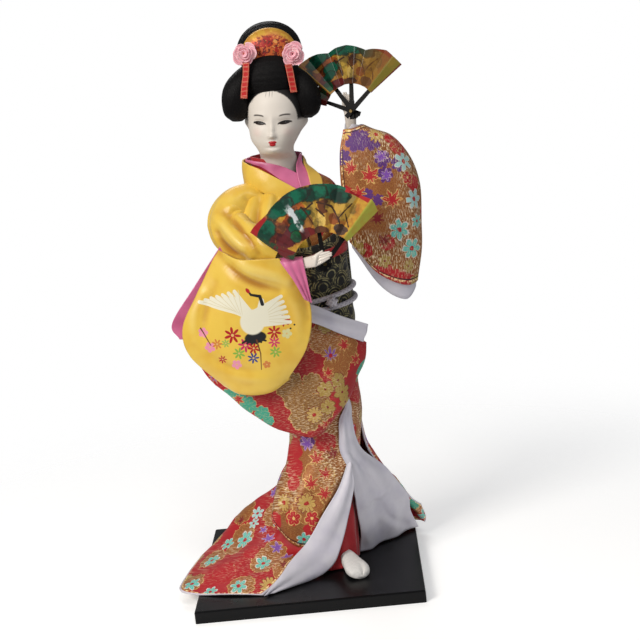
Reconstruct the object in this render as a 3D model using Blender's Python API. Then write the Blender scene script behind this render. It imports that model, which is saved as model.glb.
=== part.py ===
"""Geisha figure in kimono on a lacquered plinth, built as the real doll is put together.

Units are metres. +Z is up, the doll faces -Y, and the origin is the middle of the plinth's
underside. The figure's points were drawn for a plinth 6.6 mm thick, and one empty lifts the
whole figure when the plinth is made thicker.
"""

import math

import bmesh
import bpy
import numpy as np
from mathutils import Matrix, Vector

for old in list(bpy.data.objects):
    bpy.data.objects.remove(old, do_unlink=True)

MM = 0.001

# Driving dimensions
GAP = 0.3 * MM  # air between pieces that touch
PLINTH_SIDE = 120 * MM
PLINTH_THICK = 6.6 * MM
PLINTH_EDGE = 0.8 * MM
ROD_DIAMETER = 2.4 * MM
ROD_DEPTH = 4 * MM  # how far a leg rod goes into the plinth
CLOTH = 0.9 * MM  # brocade with its backing
LINING = 0.7 * MM
SKIRT_OUT = 2.5 * MM  # from the padded body to the wrapped skirt's inner face
OBI_THICK = 1.6 * MM
CORD_DIAMETER = 2.6 * MM
KNOT_WIDTH = 7.2 * MM
KNOT_DEPTH = 5.2 * MM
FAN_RADIUS = 37 * MM
FAN_INNER = 15 * MM
FAN_SPREAD = 116  # degrees
FAN_PANELS = 7
PLEAT_DEPTH = 1.7 * MM
PAPER = 0.5 * MM
STICK_WIDTH = 2.0 * MM
STICK_THICK = 0.7 * MM
STICK_BELOW = 4 * MM  # from the rivet to the sticks' lower ends
STICK_ABOVE = 30 * MM
RIVET_DIAMETER = 1.6 * MM
ROSE_RADIUS = 6.2 * MM
HEAD_CENTRE = Vector((8.3, -5.0, 251.5)) * MM
HEAD_YAW = math.radians(-6)
HEAD_NOD = math.radians(4)
HEAD_LEAN = math.radians(4)
DRAWN_PLINTH = 6.6 * MM

figure = bpy.data.objects.new("figure", None)
figure.location.z = PLINTH_THICK - DRAWN_PLINTH
bpy.context.scene.collection.objects.link(figure)


def paint(name, colour, roughness, metallic=0.0):
    """A material with one colour."""
    made = bpy.data.materials.new(name)
    made.use_nodes = True
    shader = made.node_tree.nodes["Principled BSDF"]
    shader.inputs["Base Color"].default_value = (*colour, 1)
    shader.inputs["Roughness"].default_value = roughness
    shader.inputs["Metallic"].default_value = metallic
    return made


LACQUER = paint("black_lacquer", (0.012, 0.012, 0.013), 0.25)
STEEL = paint("steel_wire", (0.5, 0.5, 0.5), 0.35, 1.0)
PADDING = paint("straw_padding", (0.62, 0.5, 0.3), 0.9)
SKIN = paint("white_skin", (0.78, 0.74, 0.68), 0.45)
HAIR = paint("black_hair", (0.01, 0.01, 0.011), 0.35)
YELLOW = paint("yellow_satin", (0.83, 0.6, 0.07), 0.35)
PINK = paint("pink_satin", (0.72, 0.2, 0.36), 0.4)
RED = paint("red_crepe", (0.45, 0.01, 0.015), 0.6)
BROCADE = paint("red_brocade", (0.5, 0.04, 0.02), 0.5)
WHITE = paint("white_lining", (0.62, 0.6, 0.63), 0.6)
OBI = paint("obi_black", (0.015, 0.015, 0.012), 0.5)
CORD = paint("grey_cord", (0.5, 0.46, 0.48), 0.6)
PAPER_GOLD = paint("fan_paper", (0.6, 0.36, 0.06), 0.35)
STICKS = paint("fan_black", (0.012, 0.012, 0.012), 0.3)
BRASS = paint("brass", (0.7, 0.5, 0.2), 0.3, 1.0)
ROSE = paint("rose_satin", (0.85, 0.36, 0.45), 0.4)


def mm(*points):
    """Points given in millimetres, in metres."""
    return np.array(points, float) * MM


def smooth(points, count):
    """That many points along a smooth curve which passes through the given ones."""
    p = np.array(points, float)
    p = np.concatenate([2 * p[:1] - p[1:2], p, 2 * p[-1:] - p[-2:-1]])
    t = np.linspace(0, len(p) - 3, count)
    i = np.minimum(t.astype(int), len(p) - 4)
    f = (t - i).reshape(-1, *[1] * (p.ndim - 1))
    a, b, c, d = p[i], p[i + 1], p[i + 2], p[i + 3]
    return 0.5 * (2 * b + (c - a) * f + (2 * a - 5 * b + 4 * c - d) * f**2 + (3 * b - a - 3 * c + d) * f**3)


def patch(rails, across, along):
    """A smooth surface through rails that run side by side, as rows of points."""
    return smooth(np.array([smooth(rail, along) for rail in rails]), across).transpose(1, 0, 2)


def add(name, bm, material, parent=figure):
    """Makes the mesh an object of the figure."""
    mesh = bpy.data.meshes.new(name)
    bm.to_mesh(mesh)
    bm.free()
    mesh.materials.append(material)
    made = bpy.data.objects.new(name, mesh)
    made.parent = parent
    bpy.context.scene.collection.objects.link(made)
    return made


def surface(rows, wrap=False, cap=False):
    """A bmesh grid laid over rows of points. wrap joins its two sides, cap closes its ends."""
    rows = np.asarray(rows)
    along, across = rows.shape[:2]
    bm = bmesh.new()
    bmesh.ops.create_grid(bm, x_segments=across - 1, y_segments=along - 1, size=1)
    for vertex, point in zip(bm.verts, rows.reshape(-1, 3)):
        vertex.co = point
    if wrap:
        bmesh.ops.remove_doubles(bm, verts=bm.verts, dist=0.001 * MM)
    if cap:
        bmesh.ops.holes_fill(bm, edges=bm.edges, sides=0)
        bmesh.ops.recalc_face_normals(bm, faces=bm.faces)
    return bm


def applied(piece):
    """The piece with its modifiers made part of its mesh."""
    bpy.context.view_layer.update()
    mesh = bpy.data.meshes.new_from_object(piece.evaluated_get(bpy.context.evaluated_depsgraph_get()))
    piece.modifiers.clear()
    piece.data = mesh
    return piece


def cloth(name, rows, thick, material, wrap=False):
    """A sheet of cloth of one thickness, half of it on each side of the rows."""
    made = add(name, surface(rows, wrap), material)
    wall = made.modifiers.new("wall", "SOLIDIFY")
    wall.thickness = thick
    wall.offset = 0
    return applied(made)


def solid(name, rings, material):
    """A closed form lofted through rings of points."""
    return add(name, surface(rings, wrap=True, cap=True), material)


def ring(centre, right, up, count=16, power=2.0):
    """Points round a closed ellipse, or a squarer one at a higher power; the last is the first again."""
    a = np.linspace(0, 2 * math.pi, count + 1)[:, None]
    c, s = np.cos(a), np.sin(a)
    share = 2 / power
    return centre + np.sign(c) * np.abs(c) ** share * right + np.sign(s) * np.abs(s) ** share * up


def tube(path, radii, count, steps, flat=1.0):
    """Rings along a smooth path, each square to it. flat thins them towards the viewer."""
    points = smooth(path, steps)
    sizes = smooth(np.array(radii)[:, None], steps)[:, 0]
    rings = []
    for i, point in enumerate(points):
        ahead = Vector(points[min(i + 1, steps - 1)] - points[max(i - 1, 0)]).normalized()
        side = ahead.cross(Vector((0, -1, 0)))
        if side.length < 0.2:
            side = ahead.cross(Vector((0, 0, 1)))
        side.normalize()
        front = side.cross(ahead)
        rings.append(ring(point, np.array(side) * sizes[i], np.array(front) * sizes[i] * flat, count))
    return rings


def ball(name, centre, half, material, segments=12, rings=8, turn=None):
    """An ellipsoid, turned about its own centre."""
    bm = bmesh.new()
    bmesh.ops.create_uvsphere(bm, u_segments=segments, v_segments=rings, radius=1)
    matrix = Matrix.Translation(centre) @ (turn or Matrix()) @ Matrix.Diagonal((*half, 1))
    bmesh.ops.transform(bm, matrix=matrix, verts=bm.verts)
    return add(name, bm, material)


def largest_body(piece):
    """Drops the crumbs that a cut leaves beside the piece."""
    bm = bmesh.new()
    bm.from_mesh(piece.data)
    left, groups = set(bm.verts), []
    while left:
        group, queue = set(), [left.pop()]
        while queue:
            vertex = queue.pop()
            group.add(vertex)
            for edge in vertex.link_edges:
                other = edge.other_vert(vertex)
                if other in left:
                    left.discard(other)
                    queue.append(other)
        groups.append(group)
    keep = max(groups, key=len)
    bmesh.ops.delete(bm, geom=[v for v in bm.verts if v not in keep], context="VERTS")
    bm.to_mesh(piece.data)
    bm.free()


UNCUT = {}  # each piece's mesh before it was seated


def seat(piece, *neighbours, gap=GAP):
    """Cuts the piece back from its neighbours, so that it lies on them with a fine gap."""
    UNCUT.setdefault(piece.name, piece.data.copy())
    for other in neighbours:
        cutter = other.copy()
        cutter.data = UNCUT.get(other.name, other.data).copy()
        bpy.context.scene.collection.objects.link(cutter)
        bm = bmesh.new()
        bm.from_mesh(cutter.data)
        bm.normal_update()
        moves = [vertex.normal * gap for vertex in bm.verts]
        for vertex, move in zip(bm.verts, moves):
            vertex.co += move
        bm.to_mesh(cutter.data)
        bm.free()
        cut = piece.modifiers.new("seat", "BOOLEAN")
        cut.operation = "DIFFERENCE"
        cut.object = cutter
        applied(piece)
        bpy.data.objects.remove(cutter, do_unlink=True)
    largest_body(piece)
    return piece


def join(piece, *others):
    """Fuses further forms into the piece."""
    for other in others:
        fuse = piece.modifiers.new("fuse", "BOOLEAN")
        fuse.operation = "UNION"
        fuse.object = other
        applied(piece)
        bpy.data.objects.remove(other, do_unlink=True)
    return piece


# The body: height, middle in x and y, half width, half depth, in millimetres
BODY = mm(
    (38, 3, -2, 9, 9),
    (52, 7, -1, 12, 11),
    (67, 13.5, 0, 15.5, 12.5),
    (85, 16.5, 1, 16.5, 13.5),
    (95, 17, 1.5, 16.5, 14),
    (105, 17.2, 2, 15.6, 13.5),
    (125, 18, 2, 14.8, 12.5),
    (150, 18, 2, 14.6, 12),
    (175, 16.5, 1, 15.3, 12),
    (195, 13.5, 0, 17, 12.5),
    (208, 12, 0, 22, 12.5),
    (215, 10.5, 0, 20.5, 11.5),
    (221, 7.2, 0.5, 15, 10.5),
    (227, 4.6, 1, 12.8, 9.8),
    (235, 3, 1.5, 11.6, 9.8),
)

# What the wrapped skirt adds to the body below the knee: height, move in x and y, extra half width and depth
FLARE = mm(
    (19, -4, -2, 4, 4),
    (24, -4, -2, 5.5, 5),
    (34, -3.5, -1.5, 8, 6.5),
    (42, -1.5, -1, 7.5, 6),
    (52, -0.7, -0.5, 5.5, 4.5),
    (62, 0, 0, 2.5, 2),
    (75, 0, 0, 0, 0),
)

# The red underskirt: height, middle in x and y, half width, half depth
UNDERSKIRT = mm(
    (7.4, 11.5, -6, 14.7, 17.5),
    (20, 12.3, -4, 14.5, 14.2),
    (33, 13.2, -3, 14.3, 13.5),
    (45, 13, -2, 13.3, 12.5),
    (60, 12.7, -0.5, 14.2, 12.1),
    (75, 15, 0.4, 15.4, 12.6),
    (88, 16.7, 1.2, 15.8, 13),
)

def station(table, z):
    """The table's values at a height, along a smooth curve."""
    dense = smooth(table, 200)
    return np.array([np.interp(z, dense[:, 0], dense[:, i]) for i in range(1, 5)])


def on_body(angle, z, out, flare=False):
    """A point so far out from the body. Angle 0 is the front, 90 the viewer's right."""
    cx, cy, rx, ry = station(BODY, z) + (station(FLARE, z) if flare else 0)
    a = math.radians(angle)
    return np.array([cx + (rx + out) * math.sin(a), cy - (ry + out) * math.cos(a), z])


def at(x, y, z):
    """One point given in millimetres."""
    return np.array((x, y, z)) * MM


def wrapped(name, heights, out, thick, material, sides=20, start=0, end=360, flare=False):
    """Cloth wound round the body, its inner face so far out from it."""
    angles = np.linspace(start, end, sides + 1)
    rows = [[on_body(a, z, out + thick / 2, flare) for a in angles] for z in heights]
    return cloth(name, rows, thick, material, wrap=end - start == 360)


# Plinth
bm = bmesh.new()
bmesh.ops.create_cube(bm, size=1)
bmesh.ops.transform(bm, matrix=Matrix.Diagonal((PLINTH_SIDE, PLINTH_SIDE, PLINTH_THICK, 1)), verts=bm.verts)
bmesh.ops.translate(bm, vec=(0, 0, PLINTH_THICK / 2), verts=bm.verts)
edges = [e for e in bm.edges if max(v.co.z for v in e.verts) > PLINTH_THICK / 2]
bmesh.ops.bevel(bm, geom=edges, offset=PLINTH_EDGE, segments=2, affect="EDGES", profile=0.5)
plinth = add("plinth", bm, LACQUER, parent=None)


# Legs: two wires that stand in the plinth and carry the padded body
def wire(name, foot, top):
    """A straight wire from inside the plinth into the body."""
    low = at(*foot)
    low[2] = DRAWN_PLINTH - ROD_DEPTH
    return solid(name, tube([low, at(*top)], [ROD_DIAMETER / 2] * 2, 10, 2), STEEL)


def foot(name, heel, toe, wire_in_it):
    """A stockinged foot that stands on the plinth."""
    heel, toe = at(*heel), at(*toe)
    ahead = (toe - heel) / np.linalg.norm(toe - heel)
    side = np.array((-ahead[1], ahead[0], 0))
    rings = []
    for share, half, tall in ((0, 1.6, 5), (0.06, 3.1, 8), (0.25, 3.9, 9.5), (0.5, 4.1, 8.2), (0.78, 4.7, 5.6), (0.94, 4.0, 4.2), (1, 2.2, 2.8)):
        middle = heel + (toe - heel) * share
        middle[2] = DRAWN_PLINTH + GAP + tall / 2 * MM
        rings.append(ring(middle, side * half * MM, np.array((0, 0, tall / 2 * MM)), 10, 2.6))
    return seat(solid(name, rings, SKIN), wire_in_it)


leg_wire_left = wire("leg_wire_left", (17.5, -17.5, 0), (15, -4, 74))
leg_wire_right = wire("leg_wire_right", (6.5, -1, 0), (9, 0, 74))
foot_left = foot("foot_left", (15, -13.5, 0), (29.2, -35.2, 0), leg_wire_left)
foot_right = foot("foot_right", (6.5, 3.5, 0), (6.5, -18.6, 0), leg_wire_right)
bpy.context.view_layer.update()
for peg in (leg_wire_left, leg_wire_right):
    seat(plinth, peg)

# Padded body
rings = [
    [on_body(a, z * MM, (-2.6 if z < 90 else -1.2) * MM) for a in np.linspace(0, 360, 13)]
    for z in (64, 75, 95, 115, 150, 175, 195, 208, 216)
]
body_core = seat(solid("body_core", rings, PADDING), leg_wire_left, leg_wire_right)


# Red underskirt, a cone that stands on the plinth with the left foot stepping out of it
def hoop(table, z, out=0.0, count=16):
    cx, cy, rx, ry = station(table, z)
    a = np.linspace(0, 2 * math.pi, count + 1)
    return np.stack([cx + (rx + out) * np.sin(a), cy - (ry + out) * np.cos(a), np.full(count + 1, z)], axis=1)


rows = [hoop(UNDERSKIRT, z * MM) for z in (88, 75, 60, 45, 33, 20, 12, 7.4)]
underskirt = seat(cloth("underskirt_red", rows, LINING, RED, wrap=True), foot_left)

# Skirt: wound round the body and closed above, open at the viewer's right below, with a bloused hem
HEM = [(-280, 75), (-220, 66), (-160, 58), (-130, 50), (-110, 42), (-90, 34), (-70, 29.5), (-50, 26.5), (-20, 22.5), (0, 20), (30, 19.5), (80, 20)]
OPENING = [(18, -165, 36), (24, -165, 36), (34, -168, 36), (42, -172, 42), (52, -180, 52), (62, -205, 65), (74, -250, 78), (80, -280, 80), (150, -280, 80)]


def column(out, across=20, along=10, top=147):
    """Rows of the skirt at a distance from the body."""
    heights = [h for h, _, _ in OPENING]
    rows = []
    for v in np.linspace(0, 1, along):
        row = []
        for u in np.linspace(0, 1, across):
            hem = np.interp(-280 + 360 * u, *zip(*HEM))
            z = np.interp(v, (0, 0.4, 1), (top, 82, hem))
            first = np.interp(z, heights, [a for _, a, _ in OPENING])
            last = np.interp(z, heights, [b for _, _, b in OPENING])
            row.append(on_body(first + (last - first) * u, z * MM, out, flare=True))
        rows.append(row)
    return rows


skirt = cloth("skirt", column(SKIRT_OUT + CLOTH / 2), CLOTH, BROCADE, wrap=True)
seat(underskirt, skirt, body_core)

# Train: tucked inside the skirt's hem, spreading over the plinth to the left and round the back
SKIRT_IN = 1.75 * MM


def inside(angle, z):
    return on_body(angle, z * MM, SKIRT_IN) / MM


TRAIN = [
    [(4, -13, 33), (1, -17, 24), (-3, -23, 16.5), (-9, -32, 17.5), (-15.5, -40, 12.5), (-24.8, -47.8, 7.4)],
    [(-6, -12, 40), (-10, -14, 32), (-15, -18, 23), (-26, -27, 17), (-40, -34, 12), (-60.2, -38.6, 7.4)],
    [(-6, -4, 50), (-12, -4, 41), (-17, -6, 30), (-30, -11, 24), (-47, -17, 16), (-71, -24.6, 7.4)],
    [inside(228, 62), (-10, 12, 50), (-20, 15, 43), (-31, 19, 35), (-43, 25, 22), (-57, 31, 7.4)],
    [inside(205, 74), (0, 21, 57), (-5, 25, 44), (-11, 33, 31), (-17, 41, 19), (-24, 48, 7.4)],
    [inside(170, 80), (20, 20, 62), (22, 26, 48), (24, 34, 34), (26, 43, 20), (26, 53, 7.4)],
    [inside(130, 84), (32, 15, 66), (37, 21, 52), (43, 28, 37), (50, 36, 22), (57, 44, 7.4)],
    [inside(104, 86), (36.5, 7, 70), (42, 13, 56), (49, 20, 40), (57, 28, 24), (66, 36.5, 7.6)],
    [inside(82, 88), (37.2, 1, 68), (43, 6, 56), (50.5, 13, 42), (57, 20.5, 30), (64.5, 33, 20)],
]


def spread(rails, across, along, thick, floor=True):
    """A sheet's rows through rails in millimetres, kept off the plinth."""
    rows = patch([mm(*rail) for rail in rails], across, along)
    if floor:
        rows[..., 2] = np.maximum(rows[..., 2], DRAWN_PLINTH + GAP + thick / 2)
    return rows


train = seat(cloth("train", spread(TRAIN, 21, 9, CLOTH), CLOTH, BROCADE), skirt, underskirt)

# Its front edge is turned out and shows the lining
TURNED_EDGE = [
    [(27.2, -13.6, 67), (20.1, -18.2, 52.3), (10.4, -22.4, 39.7), (0.2, -24.6, 25.6), (-8.4, -33.2, 19.8), (-15, -41.4, 14.3), (-24.2, -49.4, 7.4)],
    [(27.8, -14.6, 64), (24.4, -18.4, 51), (17.2, -22.4, 36), (9.4, -24.8, 22), (1.8, -31, 15.4), (-8, -39, 11.6), (-21.5, -47.8, 7.4)],
    [(28, -14.6, 61.5), (27.8, -15.8, 50.8), (22.4, -19.4, 33.1), (17.2, -23.6, 19.4), (11.7, -26.4, 11), (1.5, -33, 7.4), (-17.6, -45, 7.4)],
]
train_lining = cloth("train_lining", spread(TURNED_EDGE, 3, 11, LINING), LINING, WHITE)
seat(train_lining, skirt, underskirt, train, foot_left)

# The other edge is turned out at the viewer's right, from the hip down to the plinth's corner
SIDE_FLAP = [
    [(26.6, -15.4, 104), (28.1, -13.6, 96.3), (24.1, -15.6, 89), (23.1, -16.2, 80), (22.8, -16.2, 72), (24.8, -15.4, 65), (26.5, -14.2, 60.5), (27.9, -13.2, 53), (28.5, -11, 38), (28.8, -7, 23), (28.6, -4, 15.6), (27.4, -1.2, 7.4)],
    [(28, -14.8, 104), (29.6, -13, 96), (27.4, -14.4, 88.5), (27, -14.8, 79.6), (27.4, -14, 71.6), (30, -12, 65.4), (33, -8.4, 60), (36, -4.6, 52), (39.4, 0, 38.6), (42, 5.6, 25.6), (43, 9.6, 16.6), (43.6, 13.6, 7.4)],
    [(29.4, -14, 104), (31, -12, 95.4), (30.8, -12.6, 88), (31.6, -10.8, 79), (33.2, -7.8, 72), (35.6, -3.6, 66.4), (39.8, 2, 60.6), (44.1, 6, 51.6), (50.1, 12, 40), (54.7, 17.4, 29.6), (57.8, 22.6, 19.6), (61.2, 28.6, 8.2)],
]
side_lining = cloth("side_lining", spread(SIDE_FLAP, 4, 14, LINING), LINING, WHITE)
seat(side_lining, skirt, underskirt, train, train_lining)

# Bodice, collars
def bodice(name, first, last, thick, material):
    """One side of the bodice, low in front of the neck and high behind it."""
    rows = []
    for v in (0, 0.4, 0.7, 0.85, 1):
        row = []
        for a in np.linspace(first, last, 10):
            top = np.interp(abs(a), (20, 70, 110, 150), (203, 219, 224, 230))
            row.append(on_body(a, (178 + (top - 178) * v) * MM, GAP + thick / 2))
        rows.append(row)
    return cloth(name, rows, thick, material)


bodice_yellow = bodice("bodice_yellow", -172, 8, LINING, YELLOW)
bodice_brocade = bodice("bodice_brocade", 14, 178, CLOTH, BROCADE)


def band(name, edges, out, thick, material, along=10, across=2):
    """A collar band: its two edges are given as (angle round the body, height)."""
    rails = [[on_body(angle, z * MM, out + thick / 2) for angle, z in edge] for edge in edges]
    return cloth(name, patch(rails, across, along), thick, material)


OVER_BODICE = 1.5 * MM
under_collar = band("under_collar_red", [[(-150, 233), (-90, 232.5), (-45, 230), (-12, 223), (8, 215)], [(-150, 228), (-90, 227), (-45, 225), (-12, 217), (4, 209)]], -1.2 * MM, 0.7 * MM, RED)
collar_pink_left = band("collar_pink_left", [[(-178, 235), (-100, 235), (-50, 233.5), (-20, 229), (8, 221.5), (24, 212)], [(-178, 229), (-100, 229.5), (-50, 227.5), (-20, 222), (4, 213), (14, 203)]], OVER_BODICE, 0.8 * MM, PINK)
collar_pink_right = band("collar_pink_right", [[(178, 235), (100, 234.5), (60, 232.5), (36, 226), (27, 220), (30, 212)], [(178, 229), (100, 229), (66, 226.5), (56, 222), (50, 214), (44, 204)]], OVER_BODICE, 0.8 * MM, PINK)
collar_yellow = band("collar_yellow", [[(-178, 234), (-100, 234), (-56, 231.5), (-24, 226), (2, 218), (16, 208)], [(-178, 222), (-110, 221), (-66, 217), (-34, 212), (-10, 205), (6, 197)]], OVER_BODICE + 1.1 * MM, 0.9 * MM, YELLOW, along=11, across=3)
collar_gold = band("collar_gold", [[(178, 229.5), (100, 229.5), (68, 227), (60, 221), (54, 213), (47, 204)], [(178, 226), (100, 226), (76, 223.5), (70, 217.5), (62, 209.5), (55, 200.5)]], OVER_BODICE + 1.1 * MM, 0.8 * MM, PAPER_GOLD)
seat(bodice_brocade, bodice_yellow)
seat(under_collar, bodice_yellow, bodice_brocade, body_core)
seat(collar_pink_left, bodice_yellow, bodice_brocade, under_collar)
seat(collar_pink_right, collar_pink_left, bodice_yellow, bodice_brocade, under_collar)
seat(collar_yellow, collar_pink_left, collar_pink_right, bodice_yellow, bodice_brocade)
seat(collar_gold, collar_pink_right, collar_yellow, collar_pink_left, bodice_brocade)

# Obi, its red sash, cords and the drum knot at the back
OBI_OUT = SKIRT_OUT + CLOTH + GAP
obi = wrapped("obi", [z * MM for z in (139, 153, 168, 183)], OBI_OUT, OBI_THICK, OBI)
ON_OBI = OBI_OUT + OBI_THICK + GAP


def hoop_band(name, low, tall, lift, turn, out, thick, material):
    """A flat band tied round the obi, higher on one side."""
    rows = [
        [on_body(a, (low + lift * math.sin(math.radians(a - turn))) * MM + h * MM, out + thick / 2) for a in np.linspace(0, 360, 21)]
        for h in (0, tall)
    ]
    return cloth(name, rows, thick, material, wrap=True)


def hoop_cord(name, low, lift, turn, out, radius, material):
    """A round cord tied round the obi."""
    rows = []
    for b in np.linspace(0, 360, 6):
        s, c = math.sin(math.radians(b)) * radius, math.cos(math.radians(b)) * radius
        rows.append([on_body(a, (low + lift * math.sin(math.radians(a - turn))) * MM + s, out + radius + c) for a in np.linspace(0, 360, 21)])
    return add(name, surface(rows, wrap=True), material)


for under in (bodice_yellow, bodice_brocade, collar_pink_left, collar_pink_right, collar_yellow, collar_gold):
    seat(obi, under)
obi_sash = hoop_band("obi_sash_red", 174, 5, 4, 10, ON_OBI, 1.2 * MM, RED)
cord_upper = hoop_cord("obi_cord_upper", 155.4, 3.4, 20, ON_OBI, CORD_DIAMETER / 2, CORD)
cord_lower = hoop_cord("obi_cord_lower", 150.6, 2, 50, ON_OBI, CORD_DIAMETER / 2, CORD)
cord_knot = ball("obi_cord_knot", at(27, -17, 153.4), (KNOT_WIDTH / 2, KNOT_DEPTH / 2, KNOT_WIDTH / 2), CORD, 8, 6)
seat(cord_knot, obi, cord_upper, cord_lower)
rings = [ring(at(x, 28.5, 163), at(0, deep, 0), at(0, 0, tall), 12, 3.4) for x, deep, tall in ((-6, 5.0, 15), (-4.5, 6.2, 16.6), (6, 7.2, 18), (18, 7.4, 18.3), (30, 7.2, 18), (40.5, 6.2, 16.6), (42, 5.0, 15))]
obi_knot = seat(solid("obi_knot", rings, OBI), obi, obi_sash, cord_upper, cord_lower)

# Cloth that hangs over the skirt's front: a white fold and the sleeve that was slipped off
DROPPED = [
    [(-46, -17, 126.4), (-34, -20.4, 133), (-12, -22, 143), (8, -21, 149), (28, -18.6, 140), (42.6, -7, 127.6)],
    [(-42, -19, 120), (-31, -23, 120), (-10, -27, 122), (10, -26.4, 122), (29, -21.6, 118), (41.2, -8.4, 121)],
    [(-36.6, -20, 115), (-23.4, -24, 102), (-3, -26.6, 91), (12, -26, 88.4), (29, -20.4, 102), (38.8, -9, 115.6)],
    [(-35.3, -18, 114), (-21.8, -21, 99.8), (-2, -22.4, 87.2), (13, -21.6, 85.4), (29.6, -16.6, 100.4), (38.2, -6.6, 114)],
    [(-36.8, -16, 116), (-22.6, -18.4, 102.6), (-3, -18.2, 91), (12, -17, 89), (29.4, -13.6, 102), (38.8, -4, 115)],
    [(-42, -15.6, 122), (-31, -18, 121), (-10, -18.2, 122), (12, -15.4, 122), (28, -12.6, 120), (40.6, -3.6, 121)],
]
dropped_sleeve = cloth("dropped_sleeve", spread(DROPPED, 10, 12, CLOTH), CLOTH, BROCADE)
seat(dropped_sleeve, skirt, side_lining, obi, cord_lower, cord_knot)
WHITE_FOLD = [
    [(2, -26.6, 159), (17.4, -24.6, 153.8), (31, -18.8, 145.6), (44.6, -11.4, 138.2)],
    [(1, -28.4, 155.6), (16.8, -26.4, 149.6), (30, -20.4, 141.6), (42.8, -12.6, 133.8)],
    [(0, -28.8, 151), (16.4, -26.6, 145.2), (29, -20.8, 137), (40.9, -12.2, 129.2)],
]
white_fold = cloth("white_fold", spread(WHITE_FOLD, 3, 7, 1.3 * MM), 1.3 * MM, WHITE)
seat(white_fold, dropped_sleeve, obi, cord_lower, cord_upper, cord_knot)


# Head with its neck: level above the head's middle, middle in y, half width, half depth
HEAD_LEVELS = (
    (-34.4, 3.2, 9, 8.4), (-28, 2.9, 8.9, 8.2), (-22, 2.2, 8.8, 8.2), (-19, 0, 8.5, 9.2), (-17.4, -3.6, 6.3, 10.6),
    (-15, -4, 6.7, 11.8), (-11.5, -3.2, 8.9, 13.2), (-8, -2.2, 10.9, 14.2), (-5, -1.2, 12.7, 15),
    (-1, -0.4, 14.6, 15.6), (5, 0.4, 15.2, 16), (10, 1, 14.4, 15.4), (15, 1.5, 11.8, 12.8), (18.6, 2, 7.2, 8.2), (20, 2, 2, 2.4),
)
HEAD_TURN = Matrix.Rotation(HEAD_LEAN, 4, "Y") @ Matrix.Rotation(HEAD_YAW, 4, "Z") @ Matrix.Rotation(HEAD_NOD, 4, "X")
bm = surface([ring(at(0, cy, h), at(rx, 0, 0), at(0, ry, 0), 16) for h, cy, rx, ry in HEAD_LEVELS], wrap=True, cap=True)
for vertex in bm.verts:
    h = vertex.co.z / MM
    front = max(0.0, 1 - abs(vertex.co.x) / (2.4 * MM)) * (vertex.co.y < 0)
    vertex.co.y -= front * 2.2 * MM * math.exp(-((h + 6) / 3) ** 2)
bmesh.ops.transform(bm, matrix=Matrix.Translation(HEAD_CENTRE) @ HEAD_TURN, verts=bm.verts)
head = add("head", bm, SKIN)
seat(head, body_core)
for collar in (under_collar, collar_pink_left, collar_pink_right, bodice_yellow, bodice_brocade):
    seat(collar, head)


# Hair, lobe by lobe
def lobe(name, centre, half, *inside_of, segments=13, rings=9):
    return seat(ball(name, at(*centre), at(*half), HAIR, segments, rings), *inside_of)


def wing(name, path, radii):
    """Hair swept down beside the face, as a drop-shaped form."""
    return seat(solid(name, tube(mm(*path), np.array(radii) * MM, 12, 9, 1.1), HAIR), head, hair_cap, hair_roll)


hair_cap = lobe("hair_cap", (8.4, 3, 261.5), (17.6, 17.6, 16), head)
hair_roll = lobe("hair_front_roll", (8.2, -7.4, 272.2), (15.5, 12.4, 11.2), head, hair_cap)
hair_wing_left = wing("hair_wing_left", ((-2.5, -7, 277), (-6.5, -8, 271), (-10.2, -8, 264.8), (-11.4, -8, 258), (-11.6, -7.6, 253.6), (-11.8, -7.4, 251.2)), (3.5, 6.4, 7.6, 6.6, 3.8, 1.4))
hair_wing_right = wing("hair_wing_right", ((16.5, -7, 275), (21.6, -8, 268.5), (25, -8.4, 262), (25.6, -8.4, 256.4), (24.6, -8, 251.8), (24.2, -7.8, 249.4)), (3.5, 6, 7, 6.2, 3.8, 1.4))
hair_topknot = lobe("hair_topknot", (8.3, 1.6, 285), (16.9, 12, 14.7), hair_cap, hair_roll, rings=10)
hair_bag = lobe("hair_bag", (7.8, 17.5, 250.5), (10, 8.5, 12), hair_cap, head)

# Cloth crest in front of the topknot, roses and ribbons
hair_crest = seat(ball("hair_crest", at(8.8, -9, 283.6), at(14.2, 5.6, 12.6), RED, 14, 9), hair_topknot, hair_roll, hair_cap)


def rose(name, x, y, z):
    """A ribbon rose: folded petals round a bud."""
    bm = bmesh.new()
    bmesh.ops.create_uvsphere(bm, u_segments=10, v_segments=6, radius=ROSE_RADIUS)
    for vertex in bm.verts:
        turn = math.atan2(vertex.co.z, vertex.co.x)
        reach = math.hypot(vertex.co.x, vertex.co.z) / ROSE_RADIUS
        vertex.co *= 1 + 0.09 * reach * math.cos(5 * turn)
        vertex.co.y *= 0.62
    bmesh.ops.translate(bm, vec=at(x, y, z), verts=bm.verts)
    return seat(add(name, bm, ROSE), hair_topknot, hair_roll, hair_cap, hair_crest)


rose_left = rose("rose_left", -3.5, -18.5, 284.6)
rose_right = rose("rose_right", 20.8, -17.5, 281.8)
RIBBONS = {
    "ribbon_left": [[(-4.6, -18.6, 280), (-5.4, -17.6, 274), (-6.8, -16.8, 268.6), (-8, -15.8, 262.6)], [(-1.2, -20, 280), (-2.2, -19, 274), (-3.4, -18.4, 268.6), (-4.6, -17.2, 262.2)]],
    "ribbon_right": [[(16.4, -19.2, 277), (16.8, -18.8, 272.6), (17.2, -18, 268), (17.6, -17, 262.8)], [(19.8, -17.8, 277), (20.3, -17.6, 272.6), (20.6, -17.2, 268), (21, -16.4, 262.8)]],
}
for name, rails in RIBBONS.items():
    piece = cloth(name, spread(rails, 2, 6, 0.6 * MM, floor=False), 0.6 * MM, RED)
    seat(piece, rose_left, rose_right, hair_roll, hair_cap, hair_wing_left, hair_wing_right, head)
ribbon_right = piece

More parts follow.
